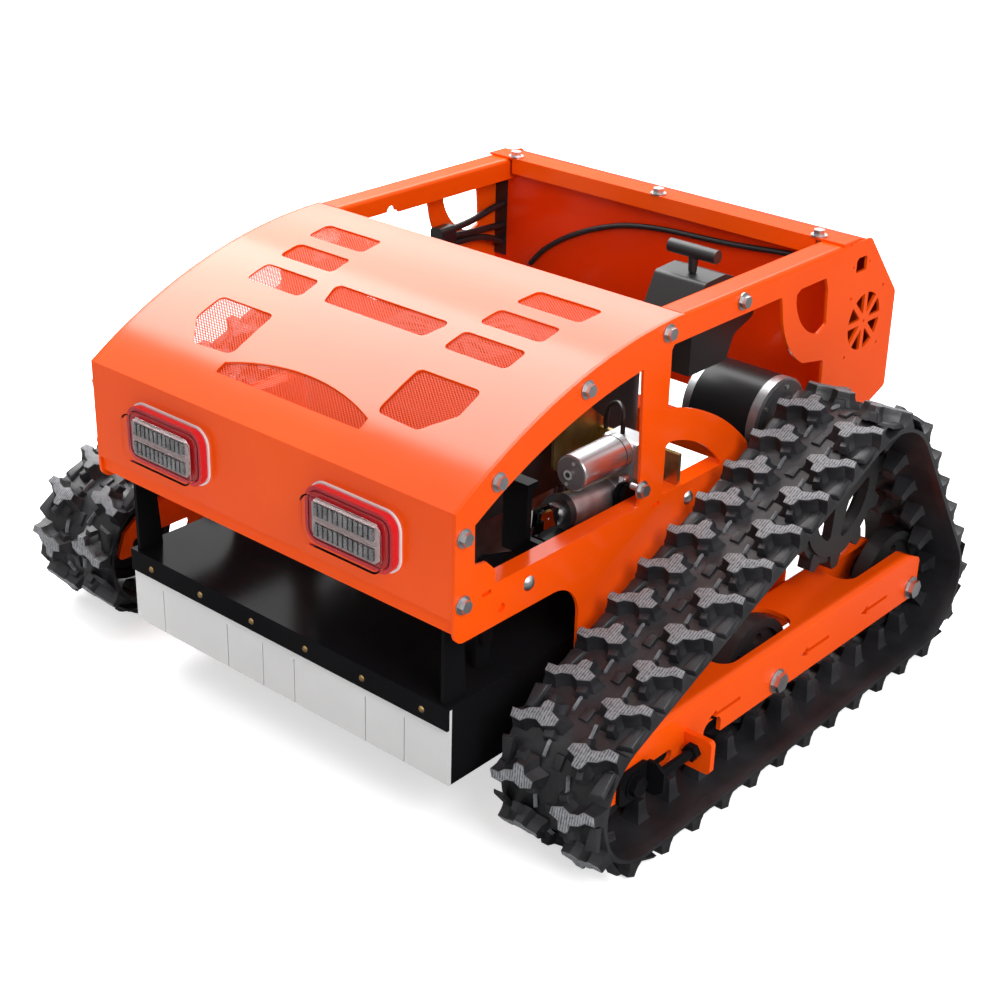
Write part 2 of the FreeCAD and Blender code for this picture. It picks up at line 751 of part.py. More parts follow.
cover_high = plate_top + cover_sheet
cover_top = box(-plate_face + sheet_gap, plate_face - sheet_gap, cover_front, cover_back[0][0],
                plate_top, cover_high)
lip_half = rail_inner - 2 * cover_sheet
cover_lip_sheet = box(-lip_half, lip_half, cover_front, cover_front + cover_sheet,
                      cover_high - cover_lip, plate_top)
back_line = [(cover_back[0][0] - cover_sheet, cover_high)] + cover_back[1:-1]
back_line.append((cover_back[-1][0], tray_bottom + tray_sheet))
cover_tail = slab_x(sheet_profile(back_line, cover_sheet), -hood_half, hood_half)
cover_tail = cover_tail.cut(tray)
cover = united([cover_top, cover_lip_sheet, cover_tail])
cover_holes = [rod_z(bolt_radius, plate_top - overrun, cover_high + overrun, x, cover_bolt_y)
               for x in cover_bolts_x]
pieces["rear_cover"] = [without(cover, cover_holes)]


# Bolts: hexagon head, washer and shank in one solid each
def bolt_x(y, z):
    face = plate_face
    return united([rod_x(washer_radius, face, face + washer_thick, y, z),
                   hexagon_x(bolt_head_radius, face + washer_thick,
                             face + washer_thick + bolt_head, y, z),
                   rod_x(bolt_radius, face - bolt_reach, face, y, z)])


def bolt_z(x, y, face):
    head = slab_z([(x + bolt_head_radius * math.cos(math.radians(a)),
                    y + bolt_head_radius * math.sin(math.radians(a)), 0)
                   for a in range(0, 360, 60)], face + washer_thick, face + washer_thick + bolt_head)
    return united([rod_z(washer_radius, face, face + washer_thick, x, y), head,
                   rod_z(bolt_radius, face - bolt_reach, face, x, y)])


pieces["hex_bolts"] = both_sides([bolt_x(y, z) for y, z in bolt_places])
pieces["hex_bolts"] += [bolt_z(x, cover_bolt_y, cover_high) for x in cover_bolts_x]

# Battery with its terminals and motor controller with cooling fins, both on the rear tray
floor = tray_bottom + tray_sheet
battery_front = tray_front + battery_gap
battery = slab_z(rounded(battery_middle - battery_width / 2, battery_middle + battery_width / 2,
                         battery_front, battery_front + battery_depth, battery_gap / 2),
                 floor, floor + battery_tall)
battery_high = floor + battery_tall
posts = [rod_z(terminal_radius, battery_high, battery_high + terminal_tall,
               battery_middle + side * battery_width * 2 / 5, battery_front + battery_depth / 4)
         for side in (-1, 1)]
pieces["battery_pack"] = [united([battery] + posts)]
controller = box(controller_middle - controller_width / 2, controller_middle + controller_width / 2,
                 battery_front, battery_front + controller_depth, floor, floor + controller_tall)
fin_room = controller_width - controller_fin
controller_ribs = []
for k in range(controller_fins):
    fin_x = controller_middle - fin_room / 2 + fin_room * k / (controller_fins - 1)
    controller_ribs.append(box(fin_x - controller_fin / 2, fin_x + controller_fin / 2, battery_front,
                               battery_front + controller_depth, floor + controller_tall,
                               floor + controller_tall + controller_fin_tall))
pieces["motor_controller"] = [united([controller] + controller_ribs)]

# Travel gear motors: can, inner end bell with bolts, gear housing with the output bearing
can_start = motor_face - motor_length
can = rod_x(motor_radius, can_start, motor_face, motor_y, motor_z)
bell = rod_x(bell_radius, can_start - bell_length, can_start, motor_y, motor_z)
bell_heads = []
for k in range(bell_bolts):
    angle = 2 * math.pi * k / bell_bolts
    ring = bell_radius * 4 / 5
    bell_heads.append(rod_x(bell_bolt_radius, can_start - bell_length - bell_bolt_radius,
                            can_start - bell_length, motor_y + ring * math.cos(angle),
                            motor_z + ring * math.sin(angle)))
bell = united([bell] + bell_heads)
housing = united([
    rod_x(gear_radius, motor_face, motor_face + gear_depth, motor_y, motor_z),
    rod_x(boss_radius, motor_face, plate_inner, sprocket_y, sprocket_z)])
bearing_bore = shaft_radius + bearing_clearance
housing = housing.cut(rod_x(bearing_bore, motor_face + shaft_flange, plate_face, sprocket_y,
                            sprocket_z))
pieces["motor_cans"] = both_sides([can])
pieces["motor_end_bells"] = both_sides([bell])
pieces["gear_housings"] = both_sides([housing])

# Track path: tangents and arcs round the front wheel, the rear wheel and the sprocket
neutral_wheel = wheel_radius + wheel_gap + path_rise + belt_thick / 2
neutral_sprocket = sprocket_teeth * belt_pitch / (2 * math.pi)
circles = [(front_axle_y, axle_height, neutral_wheel), (rear_axle_y, axle_height, neutral_wheel),
           (sprocket_y, sprocket_z, neutral_sprocket)]
normals, runs = [], []
for i, (y0, z0, r0) in enumerate(circles):
    y1, z1, r1 = circles[(i + 1) % len(circles)]
    length = math.hypot(y1 - y0, z1 - z0)
    uy, uz = (y1 - y0) / length, (z1 - z0) / length
    lean = (r0 - r1) / length
    flat = math.sqrt(1 - lean * lean)
    normals.append(math.atan2(lean * uz - flat * uy, lean * uy + flat * uz))
    runs.append(length * flat)
wraps = [(normals[i] - normals[i - 1]) % (2 * math.pi) for i in range(len(circles))]
belt_length = sum(runs) + sum(wrap * circle[2] for wrap, circle in zip(wraps, circles))
link_count = round(belt_length / belt_pitch)
link_step = belt_length / link_count


def belt_at(distance):
    """Point on the neutral line with the angle of its outward normal."""
    distance = distance % belt_length
    for i, (y, z, radius) in enumerate(circles):
        if distance <= wraps[i] * radius:
            angle = normals[i - 1] + distance / radius
            return (y + radius * math.cos(angle), z + radius * math.sin(angle), angle)
        distance -= wraps[i] * radius
        if distance <= runs[i]:
            angle = normals[i]
            return (y + radius * math.cos(angle) - distance * math.sin(angle),
                    z + radius * math.sin(angle) + distance * math.cos(angle), angle)
        distance -= runs[i]
    return belt_at(0)


def belt_loop(offset, x0, x1):
    """Solid inside the belt's path moved outwards by the offset."""
    points = []
    for i, (y, z, radius) in enumerate(circles):
        reach = radius + offset
        first, last = normals[i - 1], normals[i - 1] + wraps[i]
        middle = (first + last) / 2
        points.append((y + reach * math.cos(first), z + reach * math.sin(first), 0,
                       y + reach * math.cos(middle), z + reach * math.sin(middle)))
        points.append((y + reach * math.cos(last), z + reach * math.sin(last), 0))
    return slab_x(points, x0, x1)


def on_belt(distance, corners, x_flat, height0, height1):
    """Prism standing on the belt: corners (along, across) at one distance, between heights."""
    y, z, angle = belt_at(distance)
    ty, tz, ny, nz = -math.sin(angle), math.cos(angle), math.cos(angle), math.sin(angle)

    def place(along, across, height):
        return Vector(x_flat + across, y + ty * along + ny * height, z + tz * along + nz * height)

    ring = [place(a, c, height0) for a, c in corners]
    face = Part.Face(Part.makePolygon(ring + ring[:1]))
    return face.extrude(Vector(0, ny * (height1 - height0), nz * (height1 - height0)))


def tapered_horn(distance, x_middle):
    """Guide horn: a block that narrows along the track towards its tip."""
    y, z, angle = belt_at(distance)
    ty, tz, ny, nz = -math.sin(angle), math.cos(angle), math.cos(angle), math.sin(angle)
    corners = []
    for along, height in ((-horn_length / 2, 0), (horn_length / 2, 0),
                          (horn_tip / 2, -belt_thick / 2 - horn_height),
                          (-horn_tip / 2, -belt_thick / 2 - horn_height)):
        corners.append(Vector(x_middle - horn_width / 2, y + ty * along + ny * height,
                              z + tz * along + nz * height))
    face = Part.Face(Part.makePolygon(corners + corners[:1]))
    return face.extrude(Vector(horn_width, 0, 0))


belt_inner, belt_outer = track_middle - track_width / 2, track_middle + track_width / 2
band = belt_loop(belt_thick / 2, belt_inner, belt_outer)
band = band.cut(belt_loop(-belt_thick / 2, belt_inner - overrun, belt_outer + overrun))
path = belt_loop(-belt_thick / 4, track_middle - path_half, track_middle + path_half)
path = path.cut(belt_loop(-belt_thick / 2 - path_rise, belt_inner, belt_outer))
sprocket_mid = wraps[0] * circles[0][2] + runs[0] + wraps[1] * circles[1][2] + runs[1]
sprocket_mid += wraps[2] * circles[2][2] / 2
pocket_shift = round(sprocket_mid / link_step) * link_step
phase = sprocket_mid + belt_turn - pocket_shift
half_width = track_width / 2
studs, pockets = [path], []
for k in range(link_count):
    place_at = phase + k * link_step
    for side, shift in ((1, 0), (-1, link_step / 2)):
        corners = [(share_s * belt_pitch * side, side * (share_x * half_width - overrun / 4))
                   for share_x, share_s, _ in lug_shares]
        corners = [(a, max(-half_width, min(half_width, c))) for a, c in corners]
        studs.append(on_belt(place_at + shift, corners, track_middle,
                             belt_thick / 2 - lug_sink, belt_thick / 2 + lug_height))
    for side in (-1, 1):
        studs.append(tapered_horn(place_at + link_step / 2, track_middle + side * horn_place))
    reach_s, reach_x = pad_length / 2, pad_width / 2
    studs.append(on_belt(place_at + link_step / 4, [(-reach_s, -reach_x), (reach_s, -reach_x),
                                                    (reach_s, reach_x), (-reach_s, reach_x)],
                         track_middle, 0, belt_thick / 2 + pad_height))
    reach_s, reach_x = pocket_length / 2, pocket_width / 2
    pockets.append(on_belt(place_at, [(-reach_s, -reach_x), (reach_s, -reach_x),
                                      (reach_s, reach_x), (-reach_s, reach_x)], track_middle,
                           -belt_thick - path_rise, -belt_thick / 2 + pocket_depth))
belt = band.multiFuse(studs)
below_ground = box(belt_inner - overrun, belt_outer + overrun, -plate_length, 2 * plate_length,
                   -lug_height, 0)
belt = belt.cut(Part.makeCompound(pockets + [below_ground]))
pieces["track_belt_right"] = [belt]
pieces["track_belt_left"] = [outset(belt)]

# Drive sprocket: disc with teeth, hub and lightening holes
tip_radius = neutral_sprocket - belt_thick / 2 + pocket_depth - tooth_clearance
root_radius = tip_radius - tooth_height
disc_half = sprocket_disc / 2
sprocket = rod_x(root_radius, track_middle - disc_half, track_middle + disc_half, sprocket_y,
                 sprocket_z)
first_tooth = belt_at(sprocket_mid + belt_turn)[2]
teeth = []
for k in range(sprocket_teeth):
    angle = first_tooth + 2 * math.pi * k / sprocket_teeth
    cy, cz, ty, tz = math.cos(angle), math.sin(angle), -math.sin(angle), math.cos(angle)
    base = root_radius - tooth_height / 2
    corners = [(sprocket_y + cy * r + ty * w, sprocket_z + cz * r + tz * w, 0)
               for r, w in ((base, -tooth_base / 2), (base, tooth_base / 2),
                            (tip_radius, tooth_tip / 2), (tip_radius, -tooth_tip / 2))]
    teeth.append(slab_x(corners, track_middle - disc_half, track_middle + disc_half))
hub_start = track_middle - sprocket_hub_length + disc_half
sprocket = united([sprocket] + teeth + [rod_x(sprocket_hub_radius, hub_start,
                                              track_middle + 2 * disc_half, sprocket_y, sprocket_z)])
sprocket_cuts = [rod_x(shaft_radius, hub_start - overrun, track_middle + overrun * 2, sprocket_y,
                       sprocket_z)]
sprocket_cuts += ring_windows(sprocket_y, sprocket_z, window_inner, window_outer, window_arm,
                              sprocket_windows, track_middle - overrun, track_middle + overrun)
sprocket = without(sprocket, sprocket_cuts)
shaft_end = track_middle + 2 * disc_half


def drive_shaft(more):
    end = shaft_end + more
    return united([
        rod_x(shaft_radius, motor_face + shaft_flange + sheet_gap, end, sprocket_y, sprocket_z),
        rod_x(shaft_collar, plate_face + shaft_flange, hub_start + more, sprocket_y, sprocket_z),
        rod_x(shaft_collar, end, end + shaft_flange, sprocket_y, sprocket_z)])


pieces["drive_sprocket_right"] = [sprocket]
pieces["drive_sprocket_left"] = [outset(sprocket)]
pieces["drive_shaft_right"] = [drive_shaft(0)]
pieces["drive_shaft_left"] = [mirrored(drive_shaft(left_outset))]


# Track wheels: rim, web with holes and a long hub between the frame's flanges
frame_inner = track_middle - frame_width / 2
frame_outer = track_middle + frame_width / 2
hub_half = frame_width / 2 - frame_sheet - wheel_side_gap


def track_wheel(y):
    half = wheel_width / 2
    rim = rod_x(wheel_radius, track_middle - half, track_middle + half, y, axle_height)
    rim = rim.cut(rod_x(wheel_radius - wheel_rim, track_middle - half - overrun,
                        track_middle + half + overrun, y, axle_height))
    web = rod_x(wheel_radius - wheel_rim / 2, track_middle - wheel_web / 2,
                track_middle + wheel_web / 2, y, axle_height)
    hub = rod_x(wheel_hub_radius, track_middle - hub_half, track_middle + hub_half, y, axle_height)
    wheel = united([rim, web, hub])
    cuts = [rod_x(axle_radius + bearing_clearance, frame_inner, frame_outer, y, axle_height)]
    ring = (wheel_hub_radius + wheel_radius - wheel_rim) / 2
    for k in range(wheel_holes):
        angle = 2 * math.pi * k / wheel_holes
        cuts.append(rod_x(wheel_hole_radius, track_middle - half, track_middle + half,
                          y + ring * math.cos(angle), axle_height + ring * math.sin(angle)))
    return without(wheel, cuts)


for name, y in (("front_idler", front_axle_y), ("mid_roller", mid_axle_y),
                ("rear_idler", rear_axle_y)):
    wheel = track_wheel(y)
    pieces[name + "_right"] = [wheel]
    pieces[name + "_left"] = [outset(wheel)]


def axle(y):
    """Through bolt with a hexagon head and washer outside and a nut inside."""
    return united([
        rod_x(axle_radius, frame_inner - washer_thick, frame_outer + washer_thick, y, axle_height),
        rod_x(2 * axle_radius, frame_outer, frame_outer + washer_thick, y, axle_height),
        hexagon_x(rod_nut + washer_thick, frame_outer + washer_thick,
                  frame_outer + washer_thick + axle_radius, y, axle_height),
        hexagon_x(rod_nut + washer_thick, frame_inner - axle_radius, frame_inner, y, axle_height)])


axles = [axle(mid_axle_y), axle(rear_axle_y)]
pieces["roller_axles"] = axles + [outset(shape) for shape in axles]

# Track frames: folded channel, wheel slots, recess, arrow cut-outs, axle slots and lug plate
frame_low = axle_height - 2 * axle_radius
channel = slab_y([
    (frame_outer, 0, 0), (frame_outer, frame_top, frame_bend),
    (frame_inner, frame_top, frame_bend), (frame_inner, 0, 0),
    (frame_inner + frame_sheet, 0, 0),
    (frame_inner + frame_sheet, frame_top - frame_sheet, frame_bend - frame_sheet),
    (frame_outer - frame_sheet, frame_top - frame_sheet, frame_bend - frame_sheet),
    (frame_outer - frame_sheet, 0, 0)], 0, plate_length)
silhouette = slab_x(scaled(frame_shares, plate_length, frame_top), frame_inner - overrun,
                    frame_outer + overrun)
channel = channel.common(silhouette)
wheel_room = wheel_radius + wheel_side_gap * 4
horn_half = horn_place + horn_width / 2 + wheel_side_gap
frame_cuts = [
    slab_z(rounded(track_middle - mid_slot_half, track_middle + mid_slot_half, mid_slot_front,
                   mid_slot_rear, slot_corner), frame_top - frame_sheet - overrun / 4,
           frame_top + overrun),
    box(track_middle - horn_half, track_middle + horn_half, 0,
        front_axle_y + wheel_room * 3 / 4, frame_low, frame_top + overrun),
    slab_z(rounded(track_middle - rear_slot_half, track_middle + rear_slot_half, rear_slot_front,
                   plate_length, slot_corner), frame_low, frame_top + overrun),
    slab_x([(recess_y - recess_length / 2, 0, 0), (recess_y + recess_length / 2, 0, 0),
            (recess_y + recess_length / 2, frame_low + recess_height, recess_length / 3),
            (recess_y - recess_length / 2, frame_low + recess_height, recess_length / 3)],
           frame_outer - frame_sheet - wheel_side_gap, frame_outer + overrun),
    slab_x(rounded(front_axle_y - axle_radius - slot_play - slot_front_reach,
                   front_axle_y + slot_rear_reach,
                   axle_height - axle_radius - slot_play, axle_height + axle_radius + slot_play,
                   axle_radius), frame_inner - overrun, frame_outer + overrun)]
frame_cuts += [rod_x(axle_radius, frame_inner - overrun, frame_outer + overrun, y, axle_height)
               for y in (mid_axle_y, rear_axle_y)]
for share_y in arrow_shares:
    tip = share_y * plate_length - arrow_length / 2
    mid_z = axle_height + arrow_lift
    neck, tail = tip + arrow_head, tip + arrow_length
    frame_cuts.append(slab_x([
        (tip, mid_z, 0), (neck, mid_z - arrow_wide / 2, 0), (neck, mid_z - arrow_stem / 2, 0),
        (tail, mid_z - arrow_stem / 2, 0), (tail, mid_z + arrow_stem / 2, 0),
        (neck, mid_z + arrow_stem / 2, 0), (neck, mid_z + arrow_wide / 2, 0)],
        frame_outer - frame_sheet - wheel_side_gap, frame_outer + overrun))
rod_x_place = frame_outer + rod_out
lug_low = axle_height - lug_plate_drop
lug_plate = slab_y([
    (frame_outer, lug_low, 0), (frame_outer + lug_plate_width, lug_low, frame_sheet),
    (frame_outer + lug_plate_width, lug_low + lug_plate_tall, frame_sheet),
    (frame_outer, lug_low + lug_plate_tall, 0)], lug_plate_y, lug_plate_y + lug_plate_thick)
lug_plate = lug_plate.cut(rod_y(rod_radius + rod_play, lug_plate_y - overrun,
                                lug_plate_y + overrun, rod_x_place, axle_height))
frame = united([without(channel, frame_cuts), lug_plate])
pieces["track_frame_right"] = [frame]
pieces["track_frame_left"] = [outset(frame)]

# Stubs between the side plates and the track frames
stubs = []
for y in stub_places:
    bore = box(plate_face - overrun, frame_outer + left_outset, y - stub_length / 2 + stub_wall,
               y + stub_length / 2 - stub_wall, stub_low + stub_wall, stub_high - stub_wall)
    for more in (0, left_outset):
        stub = box(plate_face, frame_inner + more, y - stub_length / 2, y + stub_length / 2, stub_low,
                   stub_high).cut(bore)
        stubs.append(mirrored(stub) if more else stub)
pieces["track_stubs"] = stubs

# Tension forks: bracket beside the front axle, axle bolt, threaded rod and its nut
fork_x0 = frame_outer + slot_play
fork_x1 = fork_x0 + fork_thick
fork_y0, fork_y1 = front_axle_y - fork_front, front_axle_y + fork_rear
fork_low, fork_high = axle_height - fork_half, axle_height + fork_half
fork_side = slab_x(rounded(fork_y0, fork_y1, fork_low, fork_high, fork_corner), fork_x0, fork_x1)
fork_end = slab_y([(fork_x0, fork_low + fork_corner, 0), (fork_x0, fork_high - fork_corner, 0),
                   (fork_x1, fork_high, 0), (fork_x1 + fork_web / 2, fork_high, 0),
                   (fork_x1 + fork_web, fork_high - fork_corner, 0),
                   (fork_x1 + fork_web, fork_low + fork_corner, 0),
                   (fork_x1 + fork_web / 2, fork_low, 0), (fork_x1, fork_low, 0)],
                  fork_y1 - fork_thick, fork_y1)
head_start = fork_x1 + washer_thick
fork_axle = united([
    rod_x(axle_radius, frame_inner - 2 * axle_radius, head_start, front_axle_y, axle_height),
    rod_x(2 * axle_radius, fork_x1, head_start, front_axle_y, axle_height),
    hexagon_x(rod_nut + washer_thick, head_start, head_start + axle_radius, front_axle_y,
              axle_height),
    hexagon_x(rod_nut + washer_thick, frame_inner - 2 * axle_radius, frame_inner - slot_play,
              front_axle_y, axle_height)])
nut_y = lug_plate_y - sheet_gap - rod_nut_height
nut = slab_y([(rod_x_place + rod_nut * math.cos(math.radians(a)),
               axle_height + rod_nut * math.sin(math.radians(a)), 0) for a in range(0, 360, 60)],
             nut_y, nut_y + rod_nut_height)
tension = united([fork_side, fork_end, fork_axle, nut,
                  rod_y(rod_radius, fork_y1, rod_end, rod_x_place, axle_height)])
pieces["tension_fork_right"] = [tension]
pieces["tension_fork_left"] = [outset(tension)]

# Mower deck: folded shell open below, with lifting brackets and the drop link's lug
deck_inner = deck_half - deck_sheet
clamp_face = deck_front + deck_sheet
shell_front = clamp_face + skirt_thick
shell = slab_z([(-deck_half, shell_front, 0), (deck_half, shell_front, 0),
                (deck_half, deck_rear, deck_corner * 3), (-deck_half, deck_rear, deck_corner * 3)],
               deck_bottom, deck_top)
hollow = slab_z([(-deck_inner, shell_front + deck_sheet, 0), (deck_inner, shell_front + deck_sheet, 0),
                 (deck_inner, deck_rear - deck_sheet, deck_corner * 3 - deck_sheet),
                 (-deck_inner, deck_rear - deck_sheet, deck_corner * 3 - deck_sheet)],
                deck_bottom - overrun, deck_top - deck_sheet)
shell = shell.cut(hollow)
front_open = box(-deck_inner, deck_inner, shell_front - overrun, shell_front + 2 * deck_sheet,
                 deck_bottom - overrun, deck_top - clamp_tall)
rear_open = box(-deck_inner + deck_corner * 3, deck_inner - deck_corner * 3,
                deck_rear - 2 * deck_sheet, deck_rear + overrun, deck_bottom - overrun,
                deck_bottom + clamp_tall)
lip = box(-deck_half, deck_half, deck_front, shell_front, deck_top - deck_sheet, deck_top)
shell = shell.cut(Part.makeCompound([front_open, rear_open,
                                     rod_z(boss_size, deck_bottom, deck_top + overrun, 0, crank_y)]))
rise = math.radians(arm_rise)
arm_dy, arm_dz = -arm_length * math.cos(rise), arm_length * math.sin(rise)
arm_face = deck_half - arm_inset
arm_inner = arm_face - arm_thick
bracket_face = arm_inner - bracket_gap
brackets = []
for y in (front_pivot_y, rear_pivot_y):
    pin_y, pin_z = y + arm_dy, pivot_height + arm_dz
    bracket = slab_x([(pin_y - bracket_half, deck_top - deck_sheet / 2, 0),
                      (pin_y + 2 * bracket_half, deck_top - deck_sheet / 2, 0),
                      (pin_y + bracket_half, pin_z + bracket_half, bracket_half - corner_leave),
                      (pin_y - bracket_half, pin_z + bracket_half, bracket_half - corner_leave)],
                     bracket_face - bracket_thick, bracket_face)
    play = bearing_clearance if y == front_pivot_y else open_play
    bracket = bracket.cut(rod_x(pivot_radius + play, bracket_face - overrun,
                                bracket_face + overrun, pin_y, pin_z))
    brackets += [bracket, mirrored(bracket)]
crank_pivot_y = rod_pin_y - crank_arm * math.sin(math.radians(crank_lean))
crank_pivot_z = rod_pin_z - crank_arm * math.cos(math.radians(crank_lean))
tip_y, tip_z = crank_pivot_y + arm_dy, crank_pivot_z + arm_dz
crank_x0, crank_x1 = crank_x - crank_thick / 2, crank_x + crank_thick / 2
link_lug = slab_x([(tip_y - bracket_half, deck_top - deck_sheet / 2, 0),
                   (tip_y + bracket_half, deck_top - deck_sheet / 2, 0),
                   (tip_y + bracket_half, link_foot_height + arm_half, arm_half),
                   (tip_y - bracket_half, link_foot_height + arm_half, arm_half)], crank_x0, crank_x1)
link_lug = link_lug.cut(rod_x(link_pin + open_play, crank_x0 - overrun, crank_x1 + overrun, tip_y,
                              link_foot_height))
pieces["deck_shell"] = [united([shell, lip, link_lug] + brackets)]

# Front skirt with slits, its clamp bar and the screws
clamp = box(-deck_half, deck_half, deck_front, clamp_face, deck_top - clamp_tall, deck_top - deck_sheet)
skirt = box(-deck_half, deck_half, clamp_face, shell_front, deck_bottom, deck_top - deck_sheet)
skirt = without(skirt, [box(x - slit_width / 2, x + slit_width / 2, deck_front, shell_front + overrun,
                            deck_bottom - overrun, deck_bottom + slit_tall) for x in skirt_slits])
screw_z = deck_top - deck_sheet - (clamp_tall - deck_sheet) / 2
screws = []
for x in screw_places:
    hole = rod_y(screw_radius / 2, deck_front, shell_front + deck_sheet, x, screw_z)
    clamp, skirt = clamp.cut(hole), skirt.cut(hole)
    pieces["deck_shell"] = [pieces["deck_shell"][0].cut(hole)]
    head = Part.makeSphere(screw_radius, Vector(x, deck_front + screw_radius - screw_stand, screw_z))
    head = head.common(box(x - screw_radius, x + screw_radius, deck_front - screw_radius, deck_front,
                           screw_z - screw_radius, screw_z + screw_radius))
    screws.append(united([head, hole]))
pieces["front_skirt"] = [skirt]
pieces["skirt_clamp"] = [clamp]
pieces["skirt_screws"] = screws

# Lifting arms with their pins on the deck, and the fixed pivot pins through the sills
for name, y in (("front_lift_arms", front_pivot_y), ("rear_lift_arms", rear_pivot_y)):
    arm = link_x(y, pivot_height, y + arm_dy, pivot_height + arm_dz, arm_half, arm_inner, arm_face)
    arm = arm.fuse(rod_x(pivot_radius, bracket_face - bracket_thick - bracket_gap, arm_face,
                         y + arm_dy, pivot_height + arm_dz))
    arm = arm.cut(rod_x(pivot_radius + bearing_clearance, arm_inner - overrun, arm_face + overrun, y,
                        pivot_height))
    pieces[name] = both_sides([arm])
pivots = []
for y in (front_pivot_y, rear_pivot_y):
    pivots.append(united([
        rod_x(pivot_radius, arm_inner, plate_face, y, pivot_height),
        rod_x(pin_head_radius, arm_inner - bracket_gap, arm_inner - sheet_gap, y, pivot_height),
        rod_x(pivot_radius / 2, arm_inner - bracket_gap, arm_inner, y, pivot_height),
        Part.makeSphere(pin_head_radius, Vector(plate_face - pin_head_radius + pin_head, y,
                                                pivot_height)).common(
            box(plate_face, plate_face + overrun, y - overrun, y + overrun,
                pivot_height - overrun, pivot_height + overrun))]))
pieces["lift_pins"] = both_sides(pivots)

# Bell crank: arm to the deck and arm to the actuator, on a pin in its bracket
crank = united([
    link_x(crank_pivot_y, crank_pivot_z, tip_y, tip_z, link_half, crank_x0, crank_x1),
    link_x(crank_pivot_y, crank_pivot_z, rod_pin_y, rod_pin_z, link_half, crank_x0, crank_x1)])
crank = without(crank, [
    rod_x(pivot_radius / 2 + bearing_clearance, crank_x0 - overrun, crank_x1 + overrun, crank_pivot_y,
          crank_pivot_z),
    rod_x(link_pin + bearing_clearance, crank_x0 - overrun, crank_x1 + overrun, tip_y, tip_z),
    rod_x(link_pin / 2 + rod_pin_play, crank_x0 - overrun, crank_x1 + overrun, rod_pin_y, rod_pin_z)])
pieces["bell_crank"] = [crank]
link_x0 = crank_x1 + link_gap
drop_link = united([
    link_x(tip_y, tip_z, tip_y, link_foot_height, link_half, link_x0, link_x0 + link_thick),
    rod_x(link_pin, crank_x0 - link_gap, link_x0, tip_y, tip_z),
    rod_x(link_pin, crank_x0 - link_gap, link_x0, tip_y, link_foot_height)])
pieces["drop_link"] = [drop_link]
cheek_x0 = crank_x1 + cheek_gap
cheek = slab_x([(crank_pivot_y - link_half * 2, sill_top - sill_wall, 0),
                (crank_pivot_y + link_half * 2, sill_top - sill_wall, 0),
                (crank_pivot_y + link_half, crank_pivot_z - link_half, link_half - corner_leave),
                (crank_pivot_y - link_half, crank_pivot_z - link_half, link_half - corner_leave)],
               cheek_x0, cheek_x0 + cheek_thick)
cheek_foot = box(cheek_x0, sill_inner, crank_pivot_y - link_half * 2, crank_pivot_y + link_half * 2,
                 crank_pivot_z + link_half, sill_top - sill_wall)
crank_pin = rod_x(pivot_radius / 2, crank_x0 - link_gap, cheek_x0, crank_pivot_y, crank_pivot_z)
mast = box(crank_x - mast_half, crank_x + mast_half, mast_y, mast_y + mast_thick, mast_bottom, mast_top)
mast_foot = box(crank_x, sill_inner, mast_y, mast_y + mast_thick, mast_bottom, sill_top)
mast_cap = box(crank_x - mast_half, crank_x + mast_half, mast_y, mast_y + mast_half,
               mast_top - mast_thick, mast_top)
pieces["crank_bracket"] = [united([cheek, cheek_foot, crank_pin]), united([mast, mast_foot, mast_cap])]

# Linear actuator: tube with gear block and motor, chrome rod with clevis
slope = math.radians(actuator_slope)
slide = Vector(0, -math.cos(slope), math.sin(slope))
across = Vector(0, math.sin(slope), math.cos(slope))
pin_point = Vector(crank_x, rod_pin_y, rod_pin_z)


def along_actuator(radius, start, end):
    return Part.makeCylinder(radius, end - start, pin_point - slide * start, slide * -1)


tube = along_actuator(tube_radius, tube_front, tube_front + tube_length)
tube = tube.cut(along_actuator(rod_size + bearing_clearance, 0, tube_front + tube_length - overrun))
block_y1 = gear_block_y + gear_block_length
gear_block = slab_x(rounded(gear_block_y, block_y1, gear_block_low, gear_block_high, gear_block_half / 3),
                    crank_x - gear_block_half, crank_x + gear_block_half)
pieces["actuator_body"] = [united([tube, gear_block])]
drive = united([rod_y(drive_radius, drive_y, gear_block_y, crank_x, drive_z),
                rod_y(drive_radius * 4 / 5, drive_y - drive_cap, drive_y, crank_x, drive_z)])
pieces["actuator_motor"] = [drive]
rod_shape = along_actuator(rod_size, clevis_length / 2, rod_length)
clevis = Part.makeBox(clevis_width, clevis_length, clevis_tall)
clevis.translate(Vector(-clevis_width / 2, -clevis_length / 2, -clevis_tall / 2))
clevis = clevis.cut(Part.makeBox(clevis_slot, clevis_length, clevis_tall + overrun, Vector(
    -clevis_slot / 2, -clevis_length / 2 - clevis_web, -clevis_tall / 2 - overrun / 2)))
clevis.rotate(Vector(0, 0, 0), Vector(1, 0, 0), -actuator_slope)
clevis.translate(pin_point)
rod_pin = rod_x(link_pin / 2, crank_x - clevis_width / 2 - sheet_gap, crank_x + clevis_width / 2 +
                sheet_gap, rod_pin_y, rod_pin_z)
pieces["actuator_rod"] = [united([rod_shape, clevis, rod_pin])]

# Zinc plated strut behind the actuator, standing on the sill, with its side plate
strut_y = block_y1
gold_points = scaled(gold_plate_shares, plate_length, plate_top)
strut = box(gold_plate_x, plate_inner, strut_y, strut_y + strut_thick, sill_top, strut_top)
gold = slab_x(gold_points, gold_plate_x - gold_plate_thick, gold_plate_x)
pieces["actuator_mount"] = [united([strut, gold])]

